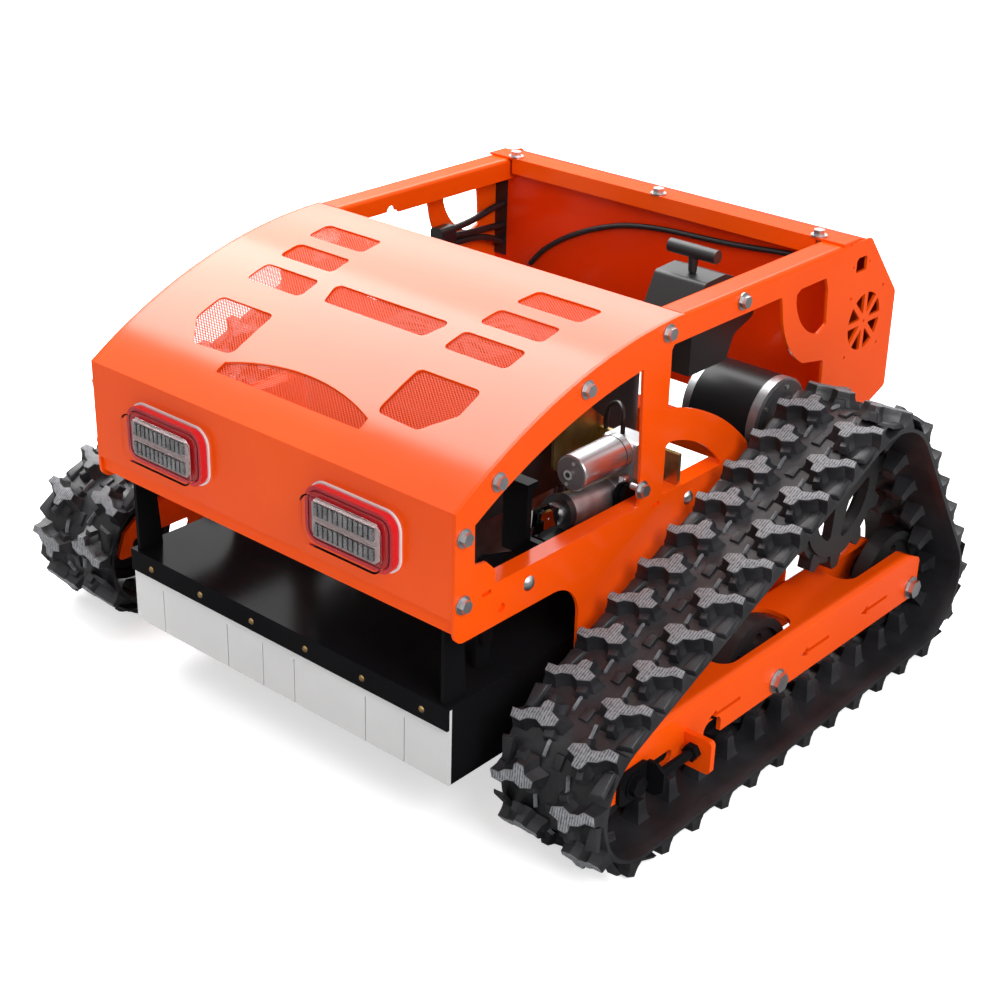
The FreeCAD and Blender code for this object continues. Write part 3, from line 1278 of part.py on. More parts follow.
# Engine: crankcase with its foot, cylinder with fins, shroud, recoil cover and rope guide
case_points = rounded(-case_half, case_half, crank_y - case_half, crank_y + case_half, case_corner)
foot_points = rounded(-case_half - foot_reach, case_half + foot_reach, crank_y - case_half - foot_reach,
                      crank_y + case_half + foot_reach, case_corner)
case = united([slab_z(foot_points, deck_top, deck_top + foot_thick),
               slab_z(case_points, deck_top, case_top)])
cylinder = box(-cylinder_half, cylinder_half, crank_y, cylinder_rear, cylinder_low, cylinder_high)
fins = []
case_rear = crank_y + case_half
for k in range(fin_count):
    fin_y = case_rear + (cylinder_rear - case_rear - fin_thick) * (k + 1) / fin_count
    fins.append(box(-cylinder_half - fin_reach, cylinder_half + fin_reach, fin_y, fin_y + fin_thick,
                    cylinder_low - fin_reach, cylinder_high))
block = united([case, cylinder] + fins)
block = block.cut(rod_z(crank_radius + bearing_clearance, deck_top - overrun, deck_top + crank_depth,
                        0, crank_y))
pieces["engine_block"] = [block]
shroud = slab_z(rounded(-shroud_half, shroud_half, shroud_front, shroud_rear, shroud_corner),
                case_top, shroud_top)
top_edges = [edge for edge in shroud.Edges if min(v.Z for v in edge.Vertexes) > shroud_top - corner_leave]
shroud = shroud.makeFillet(shroud_corner / 3, top_edges)
pieces["engine_shroud"] = [shroud]
recoil = Part.makeCone(recoil_radius, recoil_radius * 4 / 5, recoil_tall,
                       Vector(0, crank_y, shroud_top), Vector(0, 0, 1))
recoil_cuts = []
for k in range(recoil_slots):
    slot = box(recoil_radius / 3, recoil_radius * 2 / 3, -recoil_slot_width / 2, recoil_slot_width / 2,
               0, recoil_tall)
    slot.rotate(Vector(0, 0, 0), Vector(0, 0, 1), 360 * k / recoil_slots)
    slot.translate(Vector(0, crank_y, shroud_top + recoil_tall / 2))
    recoil_cuts.append(slot)
pieces["recoil_cover"] = [without(recoil, recoil_cuts)]
tower_points = scaled(tower_shares, shroud_rear, plate_top)
tower = slab_x(tower_points, tower_inner, tower_outer)
foot = box(tower_inner - tower_foot, tower_inner + overrun, tower_points[0][0], shroud_rear,
           shroud_top, shroud_top + tower_foot_thick)
tower_top = max(point[1] for point in tower_points)
bar_height = tower_top + bar_rise
rope_bottom = tower_top - rope_length
tower = united([tower, foot]).cut(rod_z(rope_radius + rope_play, rope_bottom, tower_top + overrun,
                                        handle_x, handle_y))
pieces["rope_guide"] = [tower]

# Starter handle and its rope
stem_low = tower_top + handle_gap
stem = Part.makeCone(bar_radius * 3 / 5, bar_radius * 4 / 5, bar_height - stem_low,
                     Vector(handle_x, handle_y, stem_low), Vector(0, 0, 1))
bar = rod_x(bar_radius, handle_x - bar_length / 2, handle_x + bar_length / 2, handle_y, bar_height)
pieces["starter_handle"] = [united([stem, bar])]
pieces["starter_rope"] = [rod_z(rope_radius, rope_bottom, stem_low, handle_x, handle_y)]

# Blade boss on the crankshaft's end, and the blade
blade_top = blade_height + blade_thick
boss = united([rod_z(boss_size * 4 / 5, blade_top, boss_top, 0, crank_y),
               rod_z(crank_radius, boss_top - overrun, deck_top + crank_depth - sheet_gap, 0, crank_y),
               rod_z(blade_bolt, blade_height, blade_top, 0, crank_y),
               rod_z(boss_size / 2, blade_height - bolt_head, blade_height, 0, crank_y)])
blade_half = blade_length / 2
blade = box(-blade_half, blade_half, crank_y - blade_width / 2, crank_y + blade_width / 2,
            blade_height, blade_top)
wings = []
for side in (-1, 1):
    wing = slab_y([(side * (blade_half - blade_wing), blade_top - corner_leave, 0),
                   (side * blade_half, blade_top - corner_leave, 0),
                   (side * blade_half, blade_top + blade_wing_lift, 0)],
                  crank_y - side * blade_width / 2 - blade_thick / 2 * (1 - side),
                  crank_y - side * blade_width / 2 + blade_thick / 2 * (1 + side))
    wings.append(wing)
blade = united([blade] + wings).cut(rod_z(blade_bolt, blade_height - overrun, blade_top + overrun,
                                          0, crank_y))
pieces["cutting_blade"] = [blade]
pieces["blade_boss"] = [boss]


# Cables: round tube along straight runs joined by tangent arcs, with the arcs' radii printed
def cable(name, points, radius):
    points = [Vector(*point) for point in points]
    edges, radii = [], []
    last = points[0]
    for i in range(1, len(points) - 1):
        a, b, c = points[i - 1], points[i], points[i + 1]
        back, onward = (a - b), (c - b)
        shorter = min(back.Length, onward.Length)
        cut = shorter * 9 / 20
        back.normalize()
        onward.normalize()
        turn = math.pi - back.getAngle(onward)
        bend = cut / math.tan(turn / 2)
        radii.append(bend)
        start, end = b + back * cut, b + onward * cut
        bisector = back + onward
        bisector.normalize()
        middle = b + bisector * (bend / math.cos(turn / 2) - bend)
        edges.append(Part.LineSegment(last, start).toShape())
        edges.append(Part.Arc(start, middle, end).toShape())
        last = end
    edges.append(Part.LineSegment(last, points[-1]).toShape())
    path = Part.Wire(edges)
    section = Part.Wire([Part.makeCircle(radius, points[0], points[1] - points[0])])
    tube_solid = path.makePipeShell([section], True, False)
    print(name, "length", round(path.Length, 1), "volume", round(tube_solid.Volume),
          "section times length", round(math.pi * radius ** 2 * path.Length),
          "radii", [round(value, 1) for value in radii])
    return tube_solid


loom_routes = (upper_cable_route, middle_cable_route, lower_cable_route)
loom = [cable("bulkhead run", bulkhead_cable_route, bulkhead_cable_radius)]
loom += [cable("side run", route, loom_cable_radius) for route in loom_routes]
loom_x, loom_y = upper_cable_route[0][:2]
loom_deep = 2 * (loom_x + plate_inner) - sleeve_corner
loom.append(slab_y(rounded(-plate_inner, -plate_inner + loom_deep,
                           lower_cable_route[0][2] - sleeve_corner,
                           upper_cable_route[0][2] + sleeve_corner, sleeve_corner),
                   loom_y - sleeve_length, loom_y))
loom.append(box(-plate_inner, -plate_inner + cable_gap_width, bulkhead_face - grommet_lap,
                bulkhead_face + bulkhead_sheet, cable_gap_low, cable_gap_high))
pieces["cable_loom"] = loom
pieces["actuator_cable"] = [cable("actuator_cable", actuator_cable_route, actuator_cable_radius)]

# Move every piece so that X and Y are zero at mid width and mid length, and write it
middle_x = -left_outset / 2
middle_y = (plate_length - lamp_stand) / 2
for name, solids in pieces.items():
    shape = solids[0] if len(solids) == 1 else Part.makeCompound(solids)
    shape = shape.copy()
    shape.translate(Vector(-middle_x, -middle_y, 0))
    shape.exportStep("parts/" + name + ".step")
    print(name, "solids", len(shape.Solids), "valid", shape.isValid(), "volume", round(shape.Volume))
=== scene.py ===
import bpy
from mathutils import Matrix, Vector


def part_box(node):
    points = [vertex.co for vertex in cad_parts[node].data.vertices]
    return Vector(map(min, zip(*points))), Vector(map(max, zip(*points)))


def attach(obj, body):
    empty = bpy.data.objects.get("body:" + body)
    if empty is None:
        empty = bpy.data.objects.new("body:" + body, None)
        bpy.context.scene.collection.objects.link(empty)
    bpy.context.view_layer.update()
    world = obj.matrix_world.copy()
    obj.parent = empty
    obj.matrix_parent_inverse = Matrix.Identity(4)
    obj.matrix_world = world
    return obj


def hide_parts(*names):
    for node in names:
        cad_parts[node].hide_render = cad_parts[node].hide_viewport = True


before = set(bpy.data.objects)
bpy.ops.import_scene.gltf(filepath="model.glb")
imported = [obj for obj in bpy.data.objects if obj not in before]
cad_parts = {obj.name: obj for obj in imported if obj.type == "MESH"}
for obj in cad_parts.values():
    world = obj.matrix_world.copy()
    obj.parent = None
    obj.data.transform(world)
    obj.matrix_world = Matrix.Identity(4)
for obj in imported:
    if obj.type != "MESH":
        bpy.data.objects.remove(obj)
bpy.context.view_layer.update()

import bpy, bmesh, math
from mathutils import Vector, Matrix


# Camera: it stands before the machine's front right corner, a little above it,
# as the photograph's lens and the machine's straight edges give.
camera_place = (1.4329, -1.6637, 1.2759)
focal_pixels, picture_pixels, sensor = 1797.0, 1000.0, 36.0
turn, lift, roll = math.radians(40.37), math.radians(26.20), math.radians(1.70)
bpy.ops.object.select_all(action="DESELECT")
bpy.ops.object.camera_add(location=camera_place)
camera = bpy.context.object
camera.data.lens = sensor * focal_pixels / picture_pixels
camera.data.sensor_width = sensor
camera.data.clip_start, camera.data.clip_end = 0.05, 60.0
sight = Vector((-math.sin(turn) * math.cos(lift), math.cos(turn) * math.cos(lift), -math.sin(lift)))
level_right = Vector((math.cos(turn), math.sin(turn), 0.0))
level_up = level_right.cross(sight)
right = level_right * math.cos(roll) + level_up * math.sin(roll)
up = right.cross(sight)
camera.rotation_euler = Matrix((right, up, -sight)).transposed().to_euler()
bpy.context.scene.camera = camera
bpy.context.scene.view_settings.view_transform = "Standard"


# Studio: a pale floor that keeps the machine's shadow, a soft key light before the right side,
# two wide panels high over the left rear that the hood mirrors, and a white surround. Floor
# and low sky are darker in mirrored rays, so that upright painted sheet keeps its depth.
def add_node(tree, kind, values=None, sources=None, operation=None):
    """New node with some sockets set to values and others linked from other nodes."""
    node = tree.nodes.new(kind)
    if operation:
        node.operation = operation
    for socket, value in (values or {}).items():
        node.inputs[socket].default_value = value
    for socket, source in (sources or {}).items():
        tree.links.new(source, node.inputs[socket])
    return node


def soft_light(name, place, aim, size, power):
    """Square area light that stands at a place and looks at another."""
    lamp = bpy.data.lights.new(name, "AREA")
    lamp.shape, lamp.size, lamp.energy = "SQUARE", size, power
    holder = bpy.data.objects.new(name, lamp)
    bpy.context.scene.collection.objects.link(holder)
    holder.location = place
    holder.rotation_euler = (Vector(aim) - Vector(place)).to_track_quat("-Z", "Y").to_euler()
    return holder


floor_grey, mirrored_grey, floor_glow = 0.86, 0.22, 0.58
bpy.ops.mesh.primitive_plane_add(size=30.0, location=(0, 0, 0))
floor = bpy.context.object
floor.name = "studio_floor"
floor_look = bpy.data.materials.new("studio_floor")
floor_look.use_nodes = True
floor_tree = floor_look.node_tree
floor_shader = floor_tree.nodes["Principled BSDF"]
floor_shader.inputs["Roughness"].default_value = 0.9
floor_shader.inputs["Emission Color"].default_value = (1, 1, 1, 1)
floor_rays = add_node(floor_tree, "ShaderNodeLightPath")
floor_lift = add_node(floor_tree, "ShaderNodeMapRange", {"To Max": floor_glow},
                      {"Value": floor_rays.outputs["Is Camera Ray"]})
floor_tree.links.new(floor_lift.outputs["Result"], floor_shader.inputs["Emission Strength"])
floor_mirrored = add_node(floor_tree, "ShaderNodeMapRange", {"To Min": floor_grey, "To Max": mirrored_grey},
                          {"Value": floor_rays.outputs["Is Glossy Ray"]})
floor_tree.links.new(floor_mirrored.outputs["Result"], floor_shader.inputs["Base Color"])
floor.data.materials.append(floor_look)

soft_light("key_light", (2.6, -1.0, 2.2), (0.1, 0, 0.25), 1.5, 60)
panel_x, panel_height, panel_wide = -2.3, 2.3, 3.8
for panel_name, middle_y, panel_long, power in (("hood_light", 2.45, 2.4, 105),
                                                ("hood_light_near", 0.45, 1.6, 140)):
    hood_panel = soft_light(panel_name, (panel_x, middle_y, panel_height), (panel_x, middle_y, 0.0),
                            panel_wide, power)
    hood_panel.data.shape, hood_panel.data.size_y = "RECTANGLE", panel_long

shaded_sky, open_sky = 0.52, 1.0
world = bpy.data.worlds.new("studio")
bpy.context.scene.world = world
world.use_nodes = True
world_tree = world.node_tree
sky = world_tree.nodes["Background"]
sky.inputs["Color"].default_value = (1, 1, 1, 1)
rays = add_node(world_tree, "ShaderNodeLightPath")
clear_rays = add_node(world_tree, "ShaderNodeMath", None, {0: rays.outputs["Is Glossy Ray"],
                      1: rays.outputs["Is Transmission Ray"]}, "MAXIMUM")
bright_rays = add_node(world_tree, "ShaderNodeMath", None, {0: rays.outputs["Is Camera Ray"],
                       1: clear_rays.outputs[0]}, "MAXIMUM")
strength = add_node(world_tree, "ShaderNodeMapRange", {"To Min": shaded_sky, "To Max": open_sky},
                    {"Value": bright_rays.outputs[0]})
direction = add_node(world_tree, "ShaderNodeTexCoord")
direction_parts = add_node(world_tree, "ShaderNodeSeparateXYZ", None,
                           {"Vector": direction.outputs["Generated"]})
low_sky = add_node(world_tree, "ShaderNodeMapRange",
                   {"From Min": 0.15, "From Max": 0.55, "To Min": 0.72, "To Max": 0.0},
                   {"Value": direction_parts.outputs["Z"]})
dimming = add_node(world_tree, "ShaderNodeMath", None, {0: low_sky.outputs["Result"],
                   1: rays.outputs["Is Glossy Ray"]}, "MULTIPLY")
dimmed = add_node(world_tree, "ShaderNodeMath", None, {0: strength.outputs["Result"],
                  1: dimming.outputs[0]}, "SUBTRACT")
world_tree.links.new(dimmed.outputs[0], sky.inputs["Strength"])


# Side plates: 4 mm sheet cut out, folded and powder coated in glossy orange, with the
# faint ripple of baked powder and a little tone change over the sheet.
def new_look(name):
    """New material, its node tree and its shader."""
    look = bpy.data.materials.new(name)
    look.use_nodes = True
    tree = look.node_tree
    return look, tree, tree.nodes["Principled BSDF"]


def noise_over(tree, scale, detail=2.0):
    """Noise read from the piece's own place, as a socket with values about one half."""
    place = add_node(tree, "ShaderNodeTexCoord")
    noise = add_node(tree, "ShaderNodeTexNoise", {"Scale": scale, "Detail": detail},
                     {"Vector": place.outputs["Object"]})
    return noise.outputs["Fac"]


def two_tones(tree, shader, factor, low, high, sharp):
    """Base colour that goes from one tone to another where the factor passes between two values."""
    ramp = add_node(tree, "ShaderNodeValToRGB", None, {"Fac": factor})
    ramp.color_ramp.elements[0].position, ramp.color_ramp.elements[1].position = sharp
    ramp.color_ramp.elements[0].color = (*low, 1)
    ramp.color_ramp.elements[1].color = (*high, 1)
    tree.links.new(ramp.outputs["Color"], shader.inputs["Base Color"])


def relief(tree, shader, height, depth, strength):
    bump = add_node(tree, "ShaderNodeBump", {"Strength": strength, "Distance": depth}, {"Height": height})
    tree.links.new(bump.outputs["Normal"], shader.inputs["Normal"])


def tone_change(tree, shader, low, high, scale, detail=4.0, sharp=(0.35, 0.65)):
    """Colour that drifts between two tones over the surface."""
    two_tones(tree, shader, noise_over(tree, scale, detail), low, high, sharp)


def fine_bump(tree, shader, scale, depth, strength, detail=2.0):
    relief(tree, shader, noise_over(tree, scale, detail), depth, strength)


def uneven_gloss(tree, shader, low, high, scale):
    """Roughness that drifts between two values over the surface."""
    rough = add_node(tree, "ShaderNodeMapRange", {"To Min": low, "To Max": high},
                     {"Value": noise_over(tree, scale)})
    tree.links.new(rough.outputs["Result"], shader.inputs["Roughness"])


def powder_coat(name, low, high, rough, shine=0.5):
    """Baked paint: two close tones, uneven gloss and a fine ripple."""
    look, tree, shader = new_look(name)
    tone_change(tree, shader, low, high, 3.5)
    uneven_gloss(tree, shader, rough[0], rough[1], 9.0)
    fine_bump(tree, shader, 420.0, 0.0003, 0.12)
    shader.inputs["Specular IOR Level"].default_value = shine
    return look


def dress(look, *names):
    """Give nodes of the frame one material."""
    for name in names:
        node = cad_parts[name]
        node.data.materials.clear()
        node.data.materials.append(look)


orange_coat = powder_coat("orange_powder_coat", (0.90, 0.078, 0.0015), (0.96, 0.092, 0.003),
                          (0.14, 0.22), 0.16)
dress(orange_coat, "side_plate_right", "side_plate_left", "sill_tubes", "cross_members")

# Bulkhead, rear tray and rear cover: folded sheet bolted to the plates. The bulkhead has the plates'
# paint, but its coat here is deeper and redder: painted shade and painted red bounce light of the bay.
bulkhead_painted_shade_coat = powder_coat("bulkhead_orange_painted_shade", (0.84, 0.034, 0.0008), (0.91, 0.043, 0.0012),
                        (0.14, 0.22), 0.12)
dress(bulkhead_painted_shade_coat, "bulkhead")
dress(orange_coat, "rear_tray", "rear_cover")


# Hood: one sheet bent in an arch over the front of the bay, with cut windows. Under the
# windows lies expanded metal in a duller coat, small diamonds set across the machine.
def only(piece):
    """Make one piece the selected and active one."""
    bpy.ops.object.select_all(action="DESELECT")
    piece.select_set(True)
    bpy.context.view_layer.objects.active = piece


def edit(piece, kind="FACE"):
    """Open a piece for editing with nothing selected."""
    only(piece)
    bpy.ops.object.mode_set(mode="EDIT")
    bpy.ops.mesh.select_mode(type=kind)
    bpy.ops.mesh.select_all(action="DESELECT")
    return bmesh.from_edit_mesh(piece.data)


def done(piece):
    bpy.ops.object.mode_set(mode="OBJECT")
    return piece


hood_coat = powder_coat("hood_coat", (0.88, 0.078, 0.003), (0.93, 0.092, 0.004), (0.12, 0.16), 0.36)
dress(hood_coat, "hood")
plate_middle_x, front_y = 0.0245, 0.4325
arch_y, arch_z, grille_radius = -0.037155, -0.153969, 0.7134
diamond_wide, diamond_long, strand, diamond_total = 0.0050, 0.00365, 0.00055, 190
grille_middle, grille_thick = 0.190, 0.0007
window_areas = [(0.115, 0.217, 0.174, 0.217), (0.118, 0.219, 0.232, 0.274), (0.123, 0.231, 0.290, 0.336),
                (0.117, 0.220, 0.062, 0.141)]
window_areas += [(-high, -low, front, back) for low, high, front, back in window_areas]
window_areas += [(-0.098, 0.098, 0.180, 0.222), (-0.123, 0.123, 0.038, 0.082)]
bpy.ops.object.select_all(action="DESELECT")
bpy.ops.mesh.primitive_grid_add(x_subdivisions=diamond_total, y_subdivisions=diamond_total, size=2.0)
grille = bpy.context.object
grille.name = "hood_expanded_metal"
for corner in grille.data.vertices:
    first, second = corner.co.x * (diamond_total / 2), corner.co.y * (diamond_total / 2)
    corner.co = ((first + second) * diamond_wide / 2,
                 grille_middle + (first - second) * diamond_long / 2, 0.0)
shape = edit(grille)
for face in shape.faces:
    middle = face.calc_center_median()
    face.select = not any(left < middle.x < right_edge and front < middle.y < back
                          for left, right_edge, front, back in window_areas)
bmesh.update_edit_mesh(grille.data)
bpy.ops.mesh.delete(type="FACE")
bpy.ops.mesh.select_all(action="SELECT")
bpy.ops.mesh.inset(thickness=strand, use_individual=True)
bpy.ops.mesh.delete(type="FACE")
done(grille)
for corner in grille.data.vertices:
    place = corner.co.y - front_y
    corner.co = (corner.co.x + plate_middle_x, place,
                 arch_z + math.sqrt(grille_radius ** 2 - (place - arch_y) ** 2))
wall = grille.modifiers.new("strand_depth", "SOLIDIFY")
wall.thickness, wall.offset = grille_thick, 0.0
bpy.ops.object.modifier_apply(modifier="strand_depth")
grille.data.materials.append(powder_coat("grille_coat", (0.70, 0.050, 0.002), (0.78, 0.060, 0.003),
                                         (0.30, 0.40), 0.08))
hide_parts("hood_mesh")
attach(grille, "chassis")

# Track frames and stubs: welded box sections in the orange of the plates. The stubs carry
# the frames on the machine's two sides.
dress(orange_coat, "track_frame_right", "track_frame_left", "track_stubs")


# Rubber belts: one endless band of black moulded rubber round three wheels, with 32 links.
# Each link has a branched lug on both halves, low steps beside it, a ramp at the outer edge,
# two guide horns inside and a path that the wheels roll on. The lugs' tops are scuffed grey.
def rubber(name, low, high, rough=0.6, scale=14.0, depth=0.0006):
    """Moulded rubber with a fine grain."""
    look, tree, shader = new_look(name)
    tone_change(tree, shader, low, high, scale, 6.0, (0.4, 0.7))
    fine_bump(tree, shader, 260.0, depth, 0.35, 5.0)
    shader.inputs["Roughness"].default_value = rough
    return look


def scuffed(name, low, high, stripe):
    """Worn lug top: pale scratches that run along the belt, on the lug's own flat coordinates."""
    look, tree, shader = new_look(name)
    flat = add_node(tree, "ShaderNodeUVMap")
    flat.uv_map = "moulding"
    bands = add_node(tree, "ShaderNodeTexWave",
                     {"Scale": stripe, "Distortion": 2.2, "Detail": 3.0, "Detail Scale": 2.5},
                     {"Vector": flat.outputs["UV"]})
    both = add_node(tree, "ShaderNodeMath", {1: 0.45},
                    {0: bands.outputs["Fac"], 2: noise_over(tree, 240.0, 5.0)}, "MULTIPLY_ADD")
    two_tones(tree, shader, both.outputs["Value"], low, high, (0.42, 0.92))
    relief(tree, shader, both.outputs["Value"], 0.0006, 0.5)
    shader.inputs["Roughness"].default_value = 0.62
    return look


belt_rubber = rubber("belt_rubber", (0.012, 0.012, 0.014), (0.030, 0.030, 0.034), 0.42)
lug_rubber = scuffed("lug_top_rubber", (0.060, 0.064, 0.070), (0.30, 0.31, 0.33), 90.0)
# The pale rim rubber is partly wear and partly a painted highlight on lug edges and groove rims.
edge_wear_and_highlight_rubber = rubber("lug_rim_wear_and_painted_highlight", (0.12, 0.125, 0.135), (0.26, 0.265, 0.28), 0.5, 90.0)
pitch, link_total, first_link = 0.0600072, 32, 0.0222767
sprocket_y, sprocket_z = 0.1830, 0.2866
wheel_places = [(-0.2895, 0.105, 0.083), (0.3365, 0.105, 0.083), (sprocket_y, sprocket_z, 0.1050423)]
run_angles = [-1.5707963, 0.6089060, 1.9812877]
wrap_angles = [2.7311013, 2.1797023, 1.3723817]
run_lengths = [0.626, 0.2367593, 0.5057163]
track_out, belt_half, left_shift = 0.4245, 0.075, 0.0085


def belt_place(distance):
    """Point of the belt's neutral line and its outward angle, in the machine's side view."""
    distance = distance % (link_total * pitch)
    for i, (y, z, radius) in enumerate(wheel_places):
        if distance <= wrap_angles[i] * radius:
            angle = run_angles[i - 1] + distance / radius
            return y + radius * math.cos(angle), z + radius * math.sin(angle), angle
        distance -= wrap_angles[i] * radius
        if distance <= run_lengths[i]:
            angle = run_angles[i]
            return (y + radius * math.cos(angle) - distance * math.sin(angle),
                    z + radius * math.sin(angle) + distance * math.cos(angle), angle)
        distance -= run_lengths[i]
    return belt_place(0.0)


def spread(outline, grow, least):
    """The outline moved outward by a distance, kept between an inner limit and the belt's edge."""
    wider = []
    for i, (out, along) in enumerate(outline):
        before, after = outline[i - 1], outline[(i + 1) % len(outline)]
        first = Vector((along - before[1], before[0] - out)).normalized()
        second = Vector((after[1] - along, out - after[0])).normalized()
        middle = first + second
        reach = grow / max(0.55, middle.length_squared / 2)
        wider.append((min(max(out + middle.x / middle.length * reach, least), belt_half),
                      along + middle.y / middle.length * reach))
    return wider


def outline_block(name, outline, levels, edge, least=-belt_half):
    """Moulded block: a closed outline carried through levels of height and spread, top first."""
    bpy.ops.object.select_all(action="DESELECT")
    bpy.ops.mesh.primitive_circle_add(vertices=len(outline), radius=0.01, fill_type="NGON")
    block = bpy.context.object
    block.name = name
    high = levels[0][0]
    above = spread(outline, levels[0][1], least)
    for corner, (out, along) in zip(block.data.vertices, above):
        corner.co = (out, along, high)
    edit(block)
    bpy.ops.mesh.select_all(action="SELECT")
    for height, grow in levels[1:]:
        bpy.ops.mesh.extrude_region_move()
        shape = bmesh.from_edit_mesh(block.data)
        below = spread(outline, grow, least)
        for corner in shape.verts:
            if corner.select:
                k = min(range(len(above)), key=lambda i: (corner.co.x - above[i][0]) ** 2
                        + (corner.co.y - above[i][1]) ** 2)
                corner.co = (*below[k], height)
        bmesh.update_edit_mesh(block.data)
        above = below
    bpy.ops.mesh.select_all(action="SELECT")
    bpy.ops.mesh.normals_make_consistent(inside=False)
    bpy.ops.mesh.select_all(action="DESELECT")
    bpy.ops.mesh.select_mode(type="EDGE")
    shape = bmesh.from_edit_mesh(block.data)
    for side in shape.edges:
        side.select = all(abs(v.co.z - high) < 1e-6 for v in side.verts)
    bmesh.update_edit_mesh(block.data)
    bpy.ops.mesh.bevel(offset=edge, segments=2)
    shape = bmesh.from_edit_mesh(block.data)
    flat = shape.loops.layers.uv.new("moulding")
    for face in shape.faces:
        for loop in face.loops:
            loop[flat].uv = loop.vert.co.xy
    bmesh.update_edit_mesh(block.data)
    return done(block)


def rectangle(half_out, half_along, out=0.0, along=0.0):
    return [(out - half_out, along - half_along), (out + half_out, along - half_along),
            (out + half_out, along + half_along), (out - half_out, along + half_along)]


def scuffed_top(block, height):
    """Grey worn rubber on the top faces of a block and a paler rim round them, partly wear and partly a
    painted highlight on the bevel.
    """
    for look in (belt_rubber, lug_rubber, edge_wear_and_highlight_rubber):
        block.data.materials.append(look)
    for face in block.data.polygons:
        if face.normal.z > 0.98 and face.center.z > height - 0.0002:
            face.material_index = 1
        elif face.normal.z > 0.2 and face.center.z > height - 0.0011:
            face.material_index = 2


lug_height, groove_side = 0.0220, 0.006
lug = outline_block(
    "lug",
    [(0.0145, 0.0175), (0.0160, 0.0095), (0.0300, 0.0035), (0.0400, 0.0075), (0.0520, 0.0040),
     (0.0580, -0.0020), (0.0715, -0.0015), (0.0740, 0.0075), (0.0620, 0.0090), (0.0540, 0.0160),
     (0.0425, 0.0205), (0.0410, 0.0290), (0.0380, 0.0320), (0.0290, 0.0315), (0.0270, 0.0215)],
    [(lug_height, 0.0009), (0.0160, 0.0020), (0.0100, 0.0045), (0.0060, 0.0090), (0.0015, 0.0125)],
    0.0009, groove_side)
scuffed_top(lug, lug_height)
step = outline_block(
    "step", [(0.0190, 0.0090), (0.0160, -0.0020), (0.0270, -0.0060), (0.0330, 0.0080)],
    [(0.0125, 0.0), (0.0080, 0.0014), (0.0035, 0.0030)], 0.0012, groove_side)
spur = outline_block(
    "spur", [(0.0310, 0.0260), (0.0400, 0.0250), (0.0450, 0.0400), (0.0370, 0.0420)],
    [(0.0140, 0.0), (0.0085, 0.0012), (0.0035, 0.0032)], 0.0012, groove_side)
rim = outline_block(
    "rim", [(0.0185, -0.0230), (0.0200, -0.0235), (0.0225, -0.0080), (0.0190, 0.0080), (0.0172, 0.0075),
            (0.0205, -0.0085)], [(0.0072, 0.0), (0.0030, 0.0016)], 0.0005)
ramp = outline_block(
    "ramp", [(0.0600, 0.0190), (0.0700, 0.0170), (0.0725, 0.0440), (0.0580, 0.0480)],
    [(0.0078, 0.0), (0.0030, 0.0035)], 0.0016)
pad = outline_block("pad", rectangle(0.0055, 0.0085), [(0.0062, 0.0), (0.0020, 0.0012)], 0.0008)
horn = outline_block(
    "horn", rectangle(0.0080, 0.0060),
    [(-0.0310, 0.0), (-0.0180, 0.0022), (-0.0080, 0.0046), (-0.0030, 0.0085)], 0.0030)
path = outline_block("path", rectangle(0.0105, 0.0140), [(-0.0130, 0.0), (-0.0030, 0.0022)], 0.0012)
for plain in (step, spur, ramp, pad, horn, path):
    plain.data.materials.append(belt_rubber)
# Groove rims in the pale rubber: wear and a painted highlight along their edges.
rim.data.materials.append(edge_wear_and_highlight_rubber)


def set_on_belt(piece, distance, out, way=1, depth=1.0):
    """Copy of a moulded piece, with its own mesh, standing on the belt at a distance along it."""
    y, z, angle = belt_place(distance)
    stand = Matrix(((way, 0, 0, out),
                    (0, -way * math.sin(angle), math.cos(angle), y),
                    (0, way * math.cos(angle), math.sin(angle), z), (0, 0, 0, 1)))
    twin = piece.copy()
    twin.data = piece.data.copy()
    twin.data.transform(stand @ Matrix.Diagonal((1, 1, depth, 1)))
    bpy.context.scene.collection.objects.link(twin)
    return twin


belt_thick, groove_half, groove_deep, swell_high = 0.008, 0.010, 0.0010, 0.0017
bpy.ops.object.select_all(action="DESELECT")
bpy.ops.mesh.primitive_grid_add(x_subdivisions=20, y_subdivisions=8 * link_total, size=1.0)
band = bpy.context.object
band.name = "track_belt_right_rubber"
wall = band.modifiers.new("band_wall", "SOLIDIFY")
wall.thickness, wall.offset = belt_thick, 0.0
bpy.ops.object.modifier_apply(modifier="band_wall")
shape = edit(band)
for face in shape.faces:
    face.select = abs(face.calc_center_median().y) > 0.4999
bmesh.update_edit_mesh(band.data)
bpy.ops.mesh.delete(type="ONLY_FACE")
done(band)
for corner in band.data.vertices:
    across, along = corner.co.x * 2 * belt_half, (corner.co.y + 0.5) * link_total * pitch
    top, height = corner.co.z > 0, corner.co.z
    y, z, angle = belt_place(along)
    if top and abs(across) > groove_half:
        middle = first_link + (0.012 if across > 0 else left_shift - 0.012)
        swell = math.cos(2 * math.pi * (along - middle) / pitch)
        height += swell_high * swell * min(1.0, (abs(across) - groove_half) / 0.012)
    if top and abs(across) < groove_half:
        height -= groove_deep
    if abs(across) > belt_half - 0.0005:
        height *= 0.62
    corner.co = (track_out + across, y + height * math.cos(angle), z + height * math.sin(angle))
edit(band, "VERT")
bpy.ops.mesh.select_all(action="SELECT")
bpy.ops.mesh.remove_doubles(threshold=0.0001)
bpy.ops.mesh.normals_make_consistent(inside=False)
done(band)
for look in (belt_rubber, lug_rubber, edge_wear_and_highlight_rubber):
    band.data.materials.append(look)

